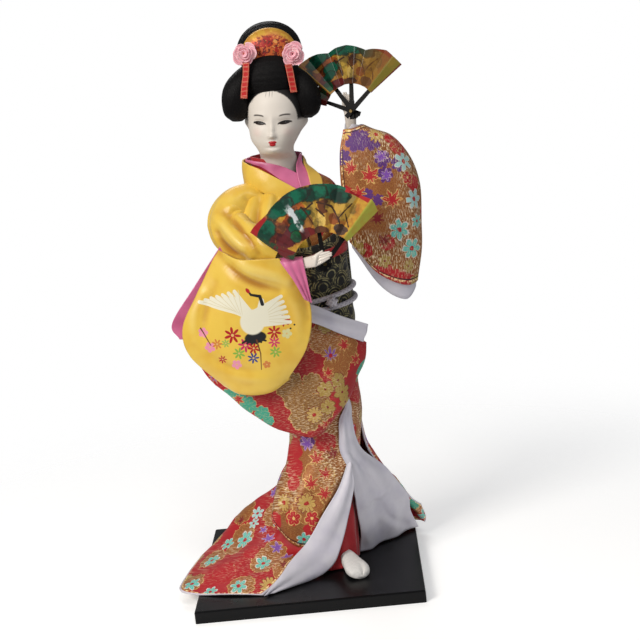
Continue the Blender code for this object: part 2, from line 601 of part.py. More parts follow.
# Raised arm with its brocade sleeve and white inner sleeve
arm_raised = solid("arm_raised", tube(mm((30.4, 0, 207.5), (40, 0, 206), (49, 0, 214), (48.6, -0.5, 228), (46.6, -1.2, 240)), np.array([3.4, 3.6, 3.4, 3, 2.6]) * MM, 8, 8), PADDING)
seat(arm_raised, bodice_brocade, body_core)
SLEEVE = [
    [(43.4, 2.4, 240), (40.6, 5.2, 229), (39.4, 6.4, 213), (39.6, 6.4, 197), (40.2, 4.8, 182.6)],
    [(47, 4.8, 241), (50, 9, 229), (52.6, 10.6, 208), (53.4, 9.6, 186), (53.4, 7.4, 165.6)],
    [(51, 3.8, 241.6), (63.4, 6.4, 233.6), (70, 8, 212), (70.6, 7.4, 188), (65.6, 5.4, 158)],
    [(53, -0.6, 241.6), (70.6, -0.6, 231), (79, -1, 210), (77.6, -1, 184), (73.4, -1, 157.4)],
    [(51, -5.4, 241.6), (63.4, -8, 233.6), (70, -10, 212), (70.6, -9.6, 188), (66.8, -7.8, 156.6)],
    [(46.6, -6.6, 241), (49.4, -10.6, 229), (52, -12.6, 208), (52.8, -12, 186), (53, -9.6, 164.4)],
    [(42.4, -4.6, 240.8), (39.4, -7.4, 229), (38.2, -8.4, 213), (38.6, -8.6, 197), (39.4, -7.4, 182.2)],
]
INNER = [
    [(x + dx, y + dy, z + dz) for (x, y, z), dz in zip(rail, (-3, 0, 0, -2, drop))]
    for rail, dx, dy, drop in zip(SLEEVE, (1.2, 0.3, -0.9, -1.5, -0.9, 0.3, 1.2), (-1, -1.5, -1.4, 0, 1.4, 1.5, 1), (-3, -7, -9, -3, -8, -7, -3))
]
sleeve_raised = cloth("sleeve_raised", spread(SLEEVE, 13, 8, CLOTH), CLOTH, BROCADE)
seat(sleeve_raised, arm_raised, bodice_brocade)
sleeve_raised_lining = cloth("sleeve_raised_lining", spread(INNER, 9, 6, LINING), LINING, WHITE)
seat(sleeve_raised_lining, sleeve_raised, arm_raised)

# Yellow sleeve: padded arm, puffed upper part, and the bag that hangs from the wrist
arm_front = solid("arm_front", tube(mm((-6, -6, 206), (-20, -13, 199), (-16, -25, 191), (-4, -34, 184), (5, -38.5, 180.4)), np.array([5, 5, 4.4, 3.4, 2.6]) * MM, 8, 8), PADDING)
seat(arm_front, bodice_yellow, collar_yellow, body_core, gap=0.6 * MM)
UPPER = [
    ((-7, -3, 209), 11, 10), ((-17, -7, 206.4), 12.5, 11), ((-22.5, -12, 201), 13, 11), ((-22, -19, 196), 12.5, 9.5),
    ((-17, -27, 192.4), 11.5, 8), ((-9, -33, 190), 10.5, 7.2), ((-2, -37, 187.4), 9, 6), ((2.6, -39, 184.6), 7.4, 4.8),
]
STEPS, SIDES = 13, 16
path = smooth([at(*p) for p, _, _ in UPPER], STEPS)
wide = smooth(np.array([[w, d] for _, w, d in UPPER]) * MM, STEPS)
rows = []
for i, point in enumerate(path):
    ahead = Vector(path[min(i + 1, STEPS - 1)] - path[max(i - 1, 0)]).normalized()
    front = Vector((0, -1, 0)) - Vector((0, -1, 0)).dot(ahead) * ahead
    side = np.array(ahead.cross(front.normalized()))
    front = np.array(front.normalized())
    row = []
    for k in range(SIDES + 1):
        a = 2 * math.pi * k / SIDES
        fold = 1 + 0.07 * math.sin(3 * a + 0.9 * i) * math.sin(math.pi * i / (STEPS - 1))
        row.append(point + side * math.cos(a) * wide[i, 0] * fold + front * math.sin(a) * wide[i, 1] * fold)
    rows.append(row)
sleeve_yellow_upper = cloth("sleeve_yellow_upper", rows, CLOTH, YELLOW, wrap=True)
seat(sleeve_yellow_upper, bodice_yellow, bodice_brocade, collar_yellow, arm_front, body_core)

BAG = [
    [(-27.7, -30, 188.6), (-17, -40.5, 184.4), (-7, -43.4, 183.6), (3.8, -44.6, 183.2)],
    [(-41.4, -31, 166), (-22, -39.6, 166), (-4, -42, 168), (13.4, -41, 168.6)],
    [(-50.6, -31, 149.6), (-28, -38.6, 148), (-6, -40.4, 148), (16.6, -37.6, 152)],
    [(-48.4, -30.6, 134.6), (-28, -37.4, 130), (-8, -38.4, 129), (12, -36, 134.6)],
    [(-34.3, -31, 119.4), (-25, -35.2, 115.6), (-10, -36, 115), (1.4, -34, 119.8)],
    [(-33.6, -29.4, 118.2), (-23.6, -32.4, 113.2), (-9, -32.6, 113), (1.6, -31.6, 118.6)],
    [(-35.4, -28.4, 121.4), (-25, -29.4, 117), (-10, -29.6, 117), (1.4, -29.4, 121.6)],
    [(-49.4, -28.4, 137), (-28, -29.4, 132), (-8, -29.6, 131), (11.4, -29.6, 137)],
    [(-48, -28, 154), (-27, -29, 152), (-6, -29.6, 152), (14.8, -30.6, 154)],
]
sleeve_bag = cloth("sleeve_yellow_bag", spread([list(r) for r in zip(*BAG)], 9, 15, CLOTH, floor=False), CLOTH, YELLOW)
seat(sleeve_bag, sleeve_yellow_upper, arm_front, white_fold, dropped_sleeve)
PINK_SIDE = [
    [(-26.6, -25.6, 190), (-42, -26.4, 171), (-56.4, -26.6, 152.4), (-53.6, -26.4, 143.6)],
    [(-17, -27, 186), (-29, -27.2, 168), (-38, -27, 152), (-40, -26.6, 142)],
]
lining_pink = cloth("sleeve_lining_pink", spread(PINK_SIDE, 3, 8, LINING, floor=False), LINING, PINK)
seat(lining_pink, sleeve_yellow_upper, arm_front, dropped_sleeve)
CUFF = [
    [(1.8, -36, 182), (2.4, -41.4, 182.4), (2.6, -42.8, 179), (5.4, -42.6, 172), (11.6, -41, 162)],
    [(15.2, -36, 181.4), (15.4, -41, 182), (15.8, -42.6, 178), (16.6, -42, 170), (17.2, -39.8, 158.6)],
]
cuff_pink = cloth("cuff_pink", spread(CUFF, 3, 9, LINING, floor=False), LINING, PINK)
seat(cuff_pink, sleeve_bag, sleeve_yellow_upper, arm_front, white_fold)


# Hands: a palm with four fingers held together and a thumb
def hand(name, wrist, palm, tips, thumb_from, thumb_to, across, thick, material=SKIN):
    """A hand lofted from the wrist to the finger tips, with the thumb fused on."""
    points = [at(*p) for p in (wrist, palm, tips)]
    path = smooth(points, 7)
    widths = np.interp(np.linspace(0, 1, 7), (0, 0.3, 0.55, 0.85, 1), (2.5, 3.3, 3.8, 2.7, 1.0)) * MM
    deeps = np.interp(np.linspace(0, 1, 7), (0, 0.3, 0.6, 0.9, 1), (2.3, 2.0, 1.7, 1.3, 0.7)) * MM
    side, front = Vector(across).normalized(), Vector(thick).normalized()
    rings = [ring(p, np.array(side) * w, np.array(front) * d, 10, 2.4) for p, w, d in zip(path, widths, deeps)]
    palm_form = solid(name, rings, material)
    thumb = solid(name + "_thumb", tube([at(*thumb_from), at(*thumb_to)], [1.15 * MM, 0.8 * MM], 6, 3), material)
    return join(palm_form, thumb)


hand_raised = hand("hand_raised", (46.4, -1.4, 241), (46.6, -3.6, 249.5), (44.8, -5.4, 259.8), (47.4, -4.6, 248.4), (49, -6.6, 255), (1, 0, 0.1), (0, 1, 0.1))
hand_front = hand("hand_front", (13.4, -39.6, 178.6), (21, -45.5, 180.2), (30.4, -47.4, 183.2), (20.4, -45.6, 181.4), (26, -46.6, 185), (0.25, 0, 1), (0.1, 1, 0))
cuff_white = solid("cuff_white", tube(mm((45.4, -0.8, 236.6), (46.4, -1.4, 243.8)), np.array([4.4, 4.8]) * MM, 12, 2), WHITE)
seat(arm_raised, hand_raised)
seat(cuff_white, arm_raised, hand_raised, sleeve_raised, sleeve_raised_lining)
seat(arm_front, hand_front)
seat(hand_front, cuff_pink, sleeve_bag)


# Fans: pleated paper on black sticks, glued open
def fan(name, pivot, start, turn, stick_angles, clear_of, folded_back=()):
    """start is the angle of the first edge above +X; turn tips the whole fan; folded_back shortens the last steps."""
    frame = Matrix.Translation(at(*pivot)) @ turn
    steps = FAN_PANELS * 2
    reach = [FAN_RADIUS] * (steps + 1 - len(folded_back)) + [FAN_RADIUS * share for share in folded_back]
    rows = []
    for v in (0, 1):
        row = []
        for k in range(steps + 1):
            r = FAN_INNER + (reach[k] - FAN_INNER) * v
            a = math.radians(start + FAN_SPREAD * k / steps)
            depth = (0.5 if k % 2 else -0.5) * PLEAT_DEPTH * r / FAN_RADIUS * 1.4
            dip = 1 - 0.06 * (k % 2) * v
            row.append(frame @ Vector((r * dip * math.cos(a), depth, r * dip * math.sin(a))))
        rows.append(row)
    leaf = seat(cloth(name + "_leaf", np.array(rows), PAPER, PAPER_GOLD), *clear_of)
    pin = solid(name + "_rivet", [[frame @ Vector(p) for p in ring(at(0, y, 0), at(r, 0, 0), at(0, 0, r), 12)] for y, r in ((-0.9, RIVET_DIAMETER / 2 / MM), (4.9, RIVET_DIAMETER / 2 / MM))], BRASS)
    for i, angle in enumerate(stick_angles):
        a = math.radians(angle)
        along = Vector((math.cos(a), 0, math.sin(a)))
        across = Vector((-math.sin(a), 0, math.cos(a)))
        leaf_there = np.interp(angle, np.linspace(start, start + FAN_SPREAD, steps + 1), reach)
        at_rivet = (i * 1.05 + 0.2) * MM
        rings = []
        for r in (-STICK_BELOW, 2.5 * MM, min(STICK_ABOVE, leaf_there - 2 * MM)):
            y = np.interp(r, mm(2.5, 17, 30), (at_rivet, (2.3 + 0.04 * i) * MM, 2.4 * MM))
            half = STICK_WIDTH / 2 * (1.2 if r < 3 * MM else 0.8)
            corners = [(-half, -STICK_THICK / 2), (half, -STICK_THICK / 2), (half, STICK_THICK / 2), (-half, STICK_THICK / 2), (-half, -STICK_THICK / 2)]
            rings.append([frame @ (along * r + across * c + Vector((0, y + d, 0))) for c, d in corners])
        stick = solid(f"{name}_stick_{i + 1}", np.array(rings), STICKS)
        seat(stick, pin, *clear_of)
    return leaf


FAN_RAISED_TURN = Matrix.Rotation(math.radians(-20), 4, "Z") @ Matrix.Rotation(math.radians(-8), 4, "X")
FAN_FRONT_TURN = Matrix.Rotation(math.radians(14), 4, "Z") @ Matrix.Rotation(math.radians(-4), 4, "X")
HAIR_BY_FAN = (hair_wing_right, hair_roll, hair_cap, hair_topknot, hair_crest, rose_right, ribbon_right)
fan_raised = fan("fan_raised", (47.2, -11, 250), 42, FAN_RAISED_TURN, (44, 89, 125, 157), (hand_raised, *HAIR_BY_FAN), folded_back=(0.86, 0.62, 0.56))
fan_front = fan("fan_front", (26.2, -42.5, 177.6), 43, FAN_FRONT_TURN, (45, 92, 157), (hand_front, cuff_pink, sleeve_yellow_upper, sleeve_bag))
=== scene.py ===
"""Looks of the geisha doll: cloth, hair, face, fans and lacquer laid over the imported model.

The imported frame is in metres. The figure's points here are in millimetres, as in the part's source.
"""

import math
import random

import bmesh
import bpy
import numpy as np
from mathutils import Matrix, Vector, noise
from mathutils.bvhtree import BVHTree


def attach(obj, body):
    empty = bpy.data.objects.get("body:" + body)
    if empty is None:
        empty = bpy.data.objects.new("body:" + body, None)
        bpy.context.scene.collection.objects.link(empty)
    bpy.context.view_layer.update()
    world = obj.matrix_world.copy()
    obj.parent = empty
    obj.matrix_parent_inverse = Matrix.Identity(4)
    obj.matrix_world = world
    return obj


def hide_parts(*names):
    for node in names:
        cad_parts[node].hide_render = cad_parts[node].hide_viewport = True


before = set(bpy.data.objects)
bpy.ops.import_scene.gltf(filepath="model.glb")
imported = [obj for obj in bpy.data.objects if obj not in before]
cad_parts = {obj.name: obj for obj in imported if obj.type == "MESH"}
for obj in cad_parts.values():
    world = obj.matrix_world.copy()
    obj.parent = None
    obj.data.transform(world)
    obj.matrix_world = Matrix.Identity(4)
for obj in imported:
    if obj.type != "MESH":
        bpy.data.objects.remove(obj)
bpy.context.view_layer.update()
scene = bpy.context.scene
MM = 0.001
WELD = 0.001 * MM  # points closer than this are one
GROUND = 6.6  # height of the plinth's top, in millimetres

# The photograph's camera, fitted to the plinth's corners: lens and sensor in millimetres, place in metres
LENS, SENSOR = 73.61, 36
EYE = (0.0443035, -0.6897634, 0.2812766)
RIGHT = Vector((0.99405992, 0.01430677, -0.10788975))
UP = Vector((0.10279795, 0.20212823, 0.97394905))
AHEAD = Vector((-0.03574163, 0.97925456, -0.19945687))


def place_camera():
    data = bpy.data.cameras.new("camera")
    data.lens = LENS
    data.sensor_width = SENSOR
    data.clip_start = 0.01
    camera = bpy.data.objects.new("camera", data)
    turn = Matrix((RIGHT, UP, -AHEAD)).transposed()
    camera.matrix_world = Matrix.Translation(EYE) @ turn.to_4x4()
    scene.collection.objects.link(camera)
    scene.camera = camera


place_camera()
scene.view_settings.view_transform = "Standard"
scene.view_settings.look = "None"
scene.view_settings.exposure = 0.0


# Shader maths: a socket with operators
class Val:
    def __init__(self, tree, socket):
        self.tree, self.socket = tree, socket

    def _math(self, op, *others):
        node = self.tree.nodes.new("ShaderNodeMath")
        node.operation = op
        for i, other in enumerate((self, *others)):
            if isinstance(other, Val):
                self.tree.links.new(other.socket, node.inputs[i])
            else:
                node.inputs[i].default_value = other
        return Val(self.tree, node.outputs[0])

    def __rsub__(self, o):
        return (self * -1) + o

    def step(self, low, high):
        """0 below low, 1 above high, smooth between."""
        node = self.tree.nodes.new("ShaderNodeMapRange")
        node.interpolation_type = "SMOOTHSTEP"
        self.tree.links.new(self.socket, node.inputs["Value"])
        for name, value in (("From Min", low), ("From Max", high)):
            if isinstance(value, Val):
                self.tree.links.new(value.socket, node.inputs[name])
            else:
                node.inputs[name].default_value = value
        return Val(self.tree, node.outputs["Result"])

    def past(self, low, high):
        """1 below low, 0 above high, smooth between."""
        return 1 - self.step(low, high)


def operation(op):
    return lambda self, *others: self._math(op, *others)


for method, op in {
    "__add__": "ADD", "__radd__": "ADD", "__sub__": "SUBTRACT", "__mul__": "MULTIPLY",
    "__rmul__": "MULTIPLY",
    "__truediv__": "DIVIDE", "sin": "SINE", "cos": "COSINE", "abs": "ABSOLUTE", "sqrt": "SQRT",
    "pow": "POWER",
    "max": "MAXIMUM", "min": "MINIMUM", "atan2": "ARCTAN2", "fract": "FRACT", "floor": "FLOOR",
}.items():
    setattr(Val, method, operation(op))


def hypot(u, v):
    return (u * u + v * v).sqrt()


def from_line(u, v, du, dv):
    """How far (u, v) is from the line between the origin and (du, dv), and the share passed there."""
    share = ((u * du + v * dv) / (du * du + dv * dv)).max(0.0).min(1.0)
    return hypot(u - share * du, v - share * dv), share


def plug(tree, value, socket):
    """Links a Val, or sets a number or colour."""
    if isinstance(value, Val):
        tree.links.new(value.socket, socket)
    elif hasattr(value, "__len__") and len(value) == 3 and len(socket.default_value) == 4:
        socket.default_value = (*value, 1)
    else:
        socket.default_value = value


def darker(colour, share):
    return tuple(c * share for c in colour)


class Look:
    """A material under construction: coordinates, noises, mixes and the shader's sockets."""

    def __init__(self, name, rough=0.5, metal=0.0, sheen=0.0, coat=0.0, specular=0.5):
        self.material = bpy.data.materials.new(name)
        self.material.use_nodes = True
        self.tree = self.material.node_tree
        self.shader = self.tree.nodes["Principled BSDF"]
        self.put("Roughness", rough)
        self.put("Metallic", metal)
        self.put("Coat Weight", coat)
        self.put("Specular IOR Level", specular)
        self.put("Sheen Weight", sheen)
        self.put("Sheen Roughness", 0.4)
        coords = self.tree.nodes.new("ShaderNodeTexCoord")
        self.object, self.uv, self.normal = (coords.outputs[name] for name in ("Object", "UV", "Normal"))

    def put(self, name, value):
        plug(self.tree, value, self.shader.inputs[name])

    def split(self, socket, scale=1000.0):
        """A vector's x, y and z, in millimetres."""
        node = self.tree.nodes.new("ShaderNodeSeparateXYZ")
        self.tree.links.new(socket, node.inputs[0])
        return [Val(self.tree, out) * scale for out in node.outputs]

    def vector(self, x, y, z=0.0):
        node = self.tree.nodes.new("ShaderNodeCombineXYZ")
        for value, socket in zip((x, y, z), node.inputs):
            plug(self.tree, value, socket)
        return node.outputs[0]

    def stretched(self, *scales):
        """The piece's own space in millimetres, scaled along each axis."""
        return self.vector(*(part * scale for part, scale in zip(self.split(self.object), scales)))

    def noise(self, vector, scale, detail=3.0, rough=0.5):
        node = self.tree.nodes.new("ShaderNodeTexNoise")
        self.tree.links.new(vector, node.inputs["Vector"])
        node.inputs["Scale"].default_value = scale
        node.inputs["Detail"].default_value = detail
        node.inputs["Roughness"].default_value = rough
        return Val(self.tree, node.outputs["Fac"])

    def grain(self, scale, detail=3.0, rough=0.5):
        """Noise through the piece's own space."""
        return self.noise(self.object, scale, detail, rough)

    def attribute(self, name, out="Vector"):
        node = self.tree.nodes.new("ShaderNodeAttribute")
        node.attribute_name = name
        return Val(self.tree, node.outputs[out])

    def _vectors(self, op, a, b, out):
        node = self.tree.nodes.new("ShaderNodeVectorMath")
        node.operation = op
        self.tree.links.new(a.socket, node.inputs[0])
        self.tree.links.new(b.socket, node.inputs[1])
        return Val(self.tree, node.outputs[out])

    def offset(self, point):
        """From the point to the surface."""
        return self._vectors("SUBTRACT", Val(self.tree, self.object), point, "Vector")

    def dot(self, a, b):
        return self._vectors("DOT_PRODUCT", a, b, "Value")

    def fixed(self, vector):
        return Val(self.tree, self.vector(*vector))

    def mix(self, share, a, b):
        node = self.tree.nodes.new("ShaderNodeMix")
        node.data_type = "RGBA"
        node.clamp_factor = True
        plug(self.tree, share, node.inputs["Factor"])
        plug(self.tree, a, node.inputs[6])
        plug(self.tree, b, node.inputs[7])
        return Val(self.tree, node.outputs[2])

    def shade(self, colour, value):
        """The colour times a grey."""
        node = self.tree.nodes.new("ShaderNodeMix")
        node.data_type = "RGBA"
        node.blend_type = "MULTIPLY"
        node.inputs[0].default_value = 1
        plug(self.tree, colour, node.inputs[6])
        grey = self.vector(value, value, value)
        self.tree.links.new(grey, node.inputs[7])
        return Val(self.tree, node.outputs[2])

    def done(self, colour, rough=None, metal=None, bump=None, deep=0.1):
        """Sets the colour, roughness, metal and bumps that are given, and hands over the material."""
        for name, value in (("Base Color", colour), ("Roughness", rough), ("Metallic", metal)):
            if value is not None:
                self.put(name, value)
        if bump is not None:
            self.bump(bump, deep)
        return self.material

    def bump(self, height, distance):
        node = self.tree.nodes.new("ShaderNodeBump")
        plug(self.tree, height, node.inputs["Height"])
        node.inputs["Distance"].default_value = distance * MM
        self.tree.links.new(node.outputs[0], self.shader.inputs["Normal"])


RED = (0.42, 0.006, 0.012)
DEEP_RED = (0.20, 0.004, 0.008)
BROWN_GOLD = (0.34, 0.15, 0.035)
PALE_GOLD = (0.72, 0.46, 0.15)
OLIVE = (0.40, 0.27, 0.06)
ORANGE = (0.62, 0.20, 0.04)
PURPLE = (0.21, 0.07, 0.40)
TEAL = (0.12, 0.50, 0.42)
PINK = (0.80, 0.28, 0.40)
WHITE = (0.82, 0.80, 0.78)
BLACK = (0.008, 0.008, 0.01)
COPPER = (0.34, 0.105, 0.025)
YELLOW, YELLOW_SHADOW = (0.80, 0.53, 0.07), (0.68, 0.36, 0.02)
SKIN, SKIN_WARM = (0.74, 0.68, 0.61), (0.68, 0.60, 0.53)

# Petals, sharpness, share of the inner disc, fill, outline, eye, size of the eye, metal of the fill
KINDS = {
    "cloud": (9, 0.5, 0.82, (0.25, 0.11, 0.03), PALE_GOLD, BROWN_GOLD, 0.0, 0.8),
    "copper": (9, 0.5, 0.82, COPPER, PALE_GOLD, BROWN_GOLD, 0.0, 0.8),
    "star": (8, 1.1, 0.3, PURPLE, PALE_GOLD, RED, 0.16, 0.0),
    "daisy": (11, 0.6, 0.45, (0.58, 0.38, 0.10), DEEP_RED, RED, 0.2, 0.6),
    "maple": (7, 1.15, 0.44, RED, PALE_GOLD, RED, 0.0, 0.0),
    "dark_maple": (7, 1.15, 0.44, DEEP_RED, BROWN_GOLD, RED, 0.0, 0.0),
    "blossom": (6, 0.5, 0.55, OLIVE, DEEP_RED, DEEP_RED, 0.12, 0.5),
    "red_blossom": (5, 0.5, 0.5, RED, PALE_GOLD, PALE_GOLD, 0.16, 0.0),
    "red_field": (6, 0.5, 0.85, RED, RED, RED, 0.0, 0.0),
    "teal": (6, 0.7, 0.35, TEAL, WHITE, RED, 0.2, 0.0),
    "pale_teal": (6, 0.9, 0.3, (0.34, 0.60, 0.58), WHITE, RED, 0.2, 0.0),
    "teal_cloud": (7, 0.5, 0.7, (0.04, 0.33, 0.22), PALE_GOLD, TEAL, 0.0, 0.0),
    "purple": (7, 0.5, 0.6, (0.10, 0.022, 0.17), (0.16, 0.05, 0.25), PURPLE, 0.0, 0.0),
    "leaf": (6, 1.15, 0.44, PURPLE, (0.62, 0.42, 0.55), PALE_GOLD, 0.0, 0.0),
    "plain": (0, 1, 0, RED, RED, RED, 0, 0),
}


def motifs_at(y, **kinds):
    """Motifs at one depth, from lists of x, z, radius and turn, in millimetres and degrees."""
    return [(kind, x, y, z, radius, turn) for kind, places in kinds.items()
            for x, z, radius, turn in places]


def seen(piece, motifs):
    """Moves each motif to where the camera sees it on the piece."""
    mesh = piece.data
    tree = BVHTree.FromPolygons([v.co for v in mesh.vertices], [p.vertices for p in mesh.polygons])
    eye = scene.camera.matrix_world.translation
    moved = []
    for kind, x, y, z, radius, turn in motifs:
        point = Vector(at(x, y, z))
        hit = tree.ray_cast(eye, point - eye)[0] or tree.find_nearest(point)[0]
        moved.append((kind, *(hit / MM), radius, turn))
    return moved


def print_motifs(mesh, layer, motifs):
    """Gives each face the motif that covers it."""
    count = len(mesh.polygons)
    centres, normals = np.empty(count * 3), np.empty(count * 3)
    mesh.polygons.foreach_get("center", centres)
    mesh.polygons.foreach_get("normal", normals)
    centres, normals = centres.reshape(-1, 3), normals.reshape(-1, 3)
    best = np.full(count, 1.25)
    made = {key: np.zeros((count, size))
            for key, size in (("at", 3), ("right", 3), ("up", 3), ("shape", 3), ("fill", 4), ("line", 4),
                              ("eye", 4))}
    for kind, x, y, z, radius, turn in motifs:
        nearest = np.argmin(((centres - at(x, y, z)) ** 2).sum(axis=1))
        middle, normal = centres[nearest], Vector(normals[nearest])
        right = Vector((1, 0, 0)) if abs(normal.x) < 0.8 else Vector((0, 1, 0))
        right = (right - normal * right.dot(normal)).normalized()
        up = normal.cross(right)
        if up.z + 0.5 * up.y < 0:
            up = -up
        c, s = math.cos(math.radians(turn)), math.sin(math.radians(turn))
        right, up = right * c + up * s, up * c - right * s
        offset = centres - middle
        flat = np.hypot(offset @ np.array(right), offset @ np.array(up))
        reach = np.hypot(flat, offset @ np.array(normal) * 1.4) / (radius * MM)
        mine = reach < best
        best[mine] = reach[mine]
        petals, sharp, inner, fill, line, eye, eye_size, metal = KINDS[kind]
        for key, value in (
            ("at", middle), ("right", np.array(right) / (radius * MM)),
            ("up", np.array(up) / (radius * MM)),
            ("shape", (petals, sharp, inner)), ("fill", (*fill, metal)), ("line", (*line, 1)),
            ("eye", (*eye, eye_size)),
        ):
            made[key][mine] = value
    for key, values in made.items():
        kind = "FLOAT_VECTOR" if values.shape[1] == 3 else "FLOAT_COLOR"
        attribute = mesh.attributes.new(f"{layer}_{key}", kind, "FACE")
        attribute.data.foreach_set("vector" if values.shape[1] == 3 else "color", values.ravel())


def scatter(mesh, count, kinds, radii, seed, taken=(), spread=0.95):
    """More motifs over the mesh, clear of those already there."""
    rng = random.Random(seed)
    areas = [p.area for p in mesh.polygons]
    made = list(taken)
    for _ in range(count * 30):
        if len(made) >= count + len(taken):
            break
        x, y, z = rng.choices(mesh.polygons, areas)[0].center / MM
        radius = rng.uniform(*radii)
        if all(math.dist((x, y, z), m[1:4]) > spread * (radius + m[4]) for m in made):
            made.append((rng.choice(kinds), x, y, z, radius, rng.uniform(0, 360)))
    return made


def motif_layer(look, layer, colour, metal, line_width):
    """The layer's motif over a colour and a metal value."""
    offset = look.offset(look.attribute(layer + "_at"))
    u, v = (look.dot(offset, look.attribute(layer + side)) for side in ("_right", "_up"))
    # The weave frays every outline a little
    u = u + look.grain(520, 2) * 0.34 - 0.17
    v = v + look.grain(610, 2) * 0.34 - 0.17
    petals, sharp, inner = look.split(look.attribute(layer + "_shape").socket, 1)
    present = petals.step(0.4, 0.6)
    reach = hypot(u, v)
    angle = u.atan2(v)
    saw = 1 - ((angle * petals / (2 * math.pi) + 0.5).fract() * 2 - 1).abs()
    pointed = sharp.step(1.0, 1.1)
    petal = (1 - (1 - saw).pow(2 - pointed)).pow(sharp)
    edge = (inner + petal * (1 - inner)) * (1 - pointed * 0.2 + pointed * angle.cos() * 0.2)
    depth = edge - reach
    fill = depth.step(0.0, 0.025) * present
    line = fill * depth.past(line_width, line_width + 0.03)
    vein = fill * saw.step(0.93, 0.97) * reach.step(0.22, 0.27) * reach.past(0.62, 0.7) * 0.7
    eye = fill * (reach - look.attribute(layer + "_eye", "Alpha")).past(0.0, 0.04)
    colour = look.mix(fill, colour, look.attribute(layer + "_fill", "Color"))
    colour = look.mix(line.max(vein), colour, look.attribute(layer + "_line", "Color"))
    colour = look.mix(eye, colour, look.attribute(layer + "_eye", "Color"))
    inside = look.attribute(layer + "_fill", "Alpha") * fill
    metal = (metal * (1 - fill) + inside).max(line.max(vein) * 0.85)
    return colour, metal * (1 - eye * 0.6)


def brocade(name, ground=RED, glints=0.5, seam_and_shade=0.0, piping=0.0, thread=(0.5, 2.3)):
    """Silk with gold-thread clouds under flowers, each face carrying its own motifs.

    glints is the strength of the painted highlights on the gold threads, seam_and_shade that of the dark
    line and gold stitches along the edges, which is a sewn join and also painted shadow along the hem,
    piping that of the white piping, and thread is the threads' fineness across and up.
    """
    look = Look(name, specular=0.45)
    x, y, z = look.split(look.object)
    slant = x + y * 0.6
    tall = z + y * 0.35
    threads = look.noise(look.vector(slant * thread[0], tall * thread[1]), 1.0, 1, 0.5)
    fine = look.noise(look.vector(slant * thread[0] * 2.2, tall * thread[1] * 2.2), 1.0, 2, 0.6)
    colour = look.mix(look.grain(60, 2).step(0.3, 0.8) * 0.7, ground, darker(ground, 0.6))
    metal = 0.8 if ground is COPPER else 0.0
    for layer in ("under", "over"):
        colour, metal = motif_layer(look, layer, colour, metal, 0.04 if layer == "under" else 0.11)
    # Gold threads run across the cloth, and some of them carry painted highlights: pale glints mixed into
    # the colour in random patches
    lit = look.grain(38, 1).step(0.40, 0.56) * glints
    colour = look.mix(metal * fine.step(0.50, 0.62) * 0.55, colour, (0.62, 0.34, 0.10))
    colour = look.mix(metal * fine.past(0.36, 0.48) * 0.55, colour, (0.14, 0.03, 0.012))
    glint = threads.step(0.54, 0.60) * (metal * 0.7 + 0.3) * lit
    colour = look.mix(glint, colour, (1.0, 0.80, 0.52))
    # A border along the edges: a dark line that is both a seam and painted shadow along the hem, gold
    # stitches, or white piping
    edge = look.attribute("edge", "Fac") * 1000
    colour = look.mix((edge - 2.3).abs().past(0.15, 0.4) * seam_and_shade, colour, (0.035, 0.006, 0.008))
    stitch = (edge - 1.5).abs().past(0.25, 0.5) * look.grain(900, 0).step(0.48, 0.55)
    colour = look.mix(stitch * max(seam_and_shade, piping), colour, (0.9, 0.66, 0.34))
    colour = look.mix((edge.step(0.05, 0.09) * edge.past(0.8, 1.0)) * piping, colour, (0.62, 0.58, 0.64))
    height = fine * 0.6 + metal * 0.6 + glint * 0.5
    return look.done(colour, 0.6 - metal * 0.12 - glint * 0.2, metal * 0.35, height, 0.07)


def fold_shade_and_highlight(look, colour, shadow):
    """Painted shade in the pressed hollows, as a deeper colour, and a painted highlight on the ridges, as a
    paler one.
    """
    fold = look.attribute("fold", "Fac")
    colour = look.mix((fold * -1).step(0.1, 1.7) * 0.85, colour,
                      tuple(c * s for c, s in zip(shadow, (0.6, 0.42, 0.5))))
    return look.mix(fold.step(0.2, 1.3) * 0.4, colour, (0.92, 0.74, 0.24))


def satin(name, colour, shadow, rough, wrinkle=0.5):
    """Satin: smooth, with a soft broad gloss and a very fine weave."""
    look = Look(name, sheen=0.25)
    x, y, z = look.split(look.object)
    weave = (x * 9).sin() * (z * 9).sin()
    soft = look.grain(90, 2)
    look.put("Anisotropic", 0.35)
    # Painted shade: the colour turns towards its shadow colour in soft random patches, and the folds add
    # painted shade in the hollows and a painted highlight on the ridges
    colour = fold_shade_and_highlight(look, look.mix(soft.step(0.35, 0.75) * 0.55, colour, shadow), shadow)
    height = weave * 0.03 + look.grain(160, 3) * wrinkle
    return look.done(colour, rough + soft * 0.14 - 0.05, bump=height, deep=0.35)


def crepe(name, colour):
    """A dull cloth with a crinkled weave."""
    look = Look(name, rough=0.7, sheen=0.3)
    grain = look.grain(1400, 4, 0.7)
    return look.done(look.mix(grain, colour, darker(colour, 0.6)), bump=grain + look.grain(120, 2),
                     deep=0.14)


# Geometry helpers: the same curves as the part's source, with more points
def mm(*points):
    return np.array(points, float) * MM


def smooth(points, count):
    """That many points along a smooth curve which passes through the given ones."""
    p = np.array(points, float)
    p = np.concatenate([2 * p[:1] - p[1:2], p, 2 * p[-1:] - p[-2:-1]])
    t = np.linspace(0, len(p) - 3, count)
    i = np.minimum(t.astype(int), len(p) - 4)
    f = (t - i).reshape(-1, *[1] * (p.ndim - 1))
    a, b, c, d = p[i], p[i + 1], p[i + 2], p[i + 3]
    return 0.5 * (2 * b + (c - a) * f + (2 * a - 5 * b + 4 * c - d) * f**2 + (3 * b - a - 3 * c + d) * f**3)


def patch(rails, across, along):
    return smooth(np.array([smooth(rail, along) for rail in rails]), across).transpose(1, 0, 2)


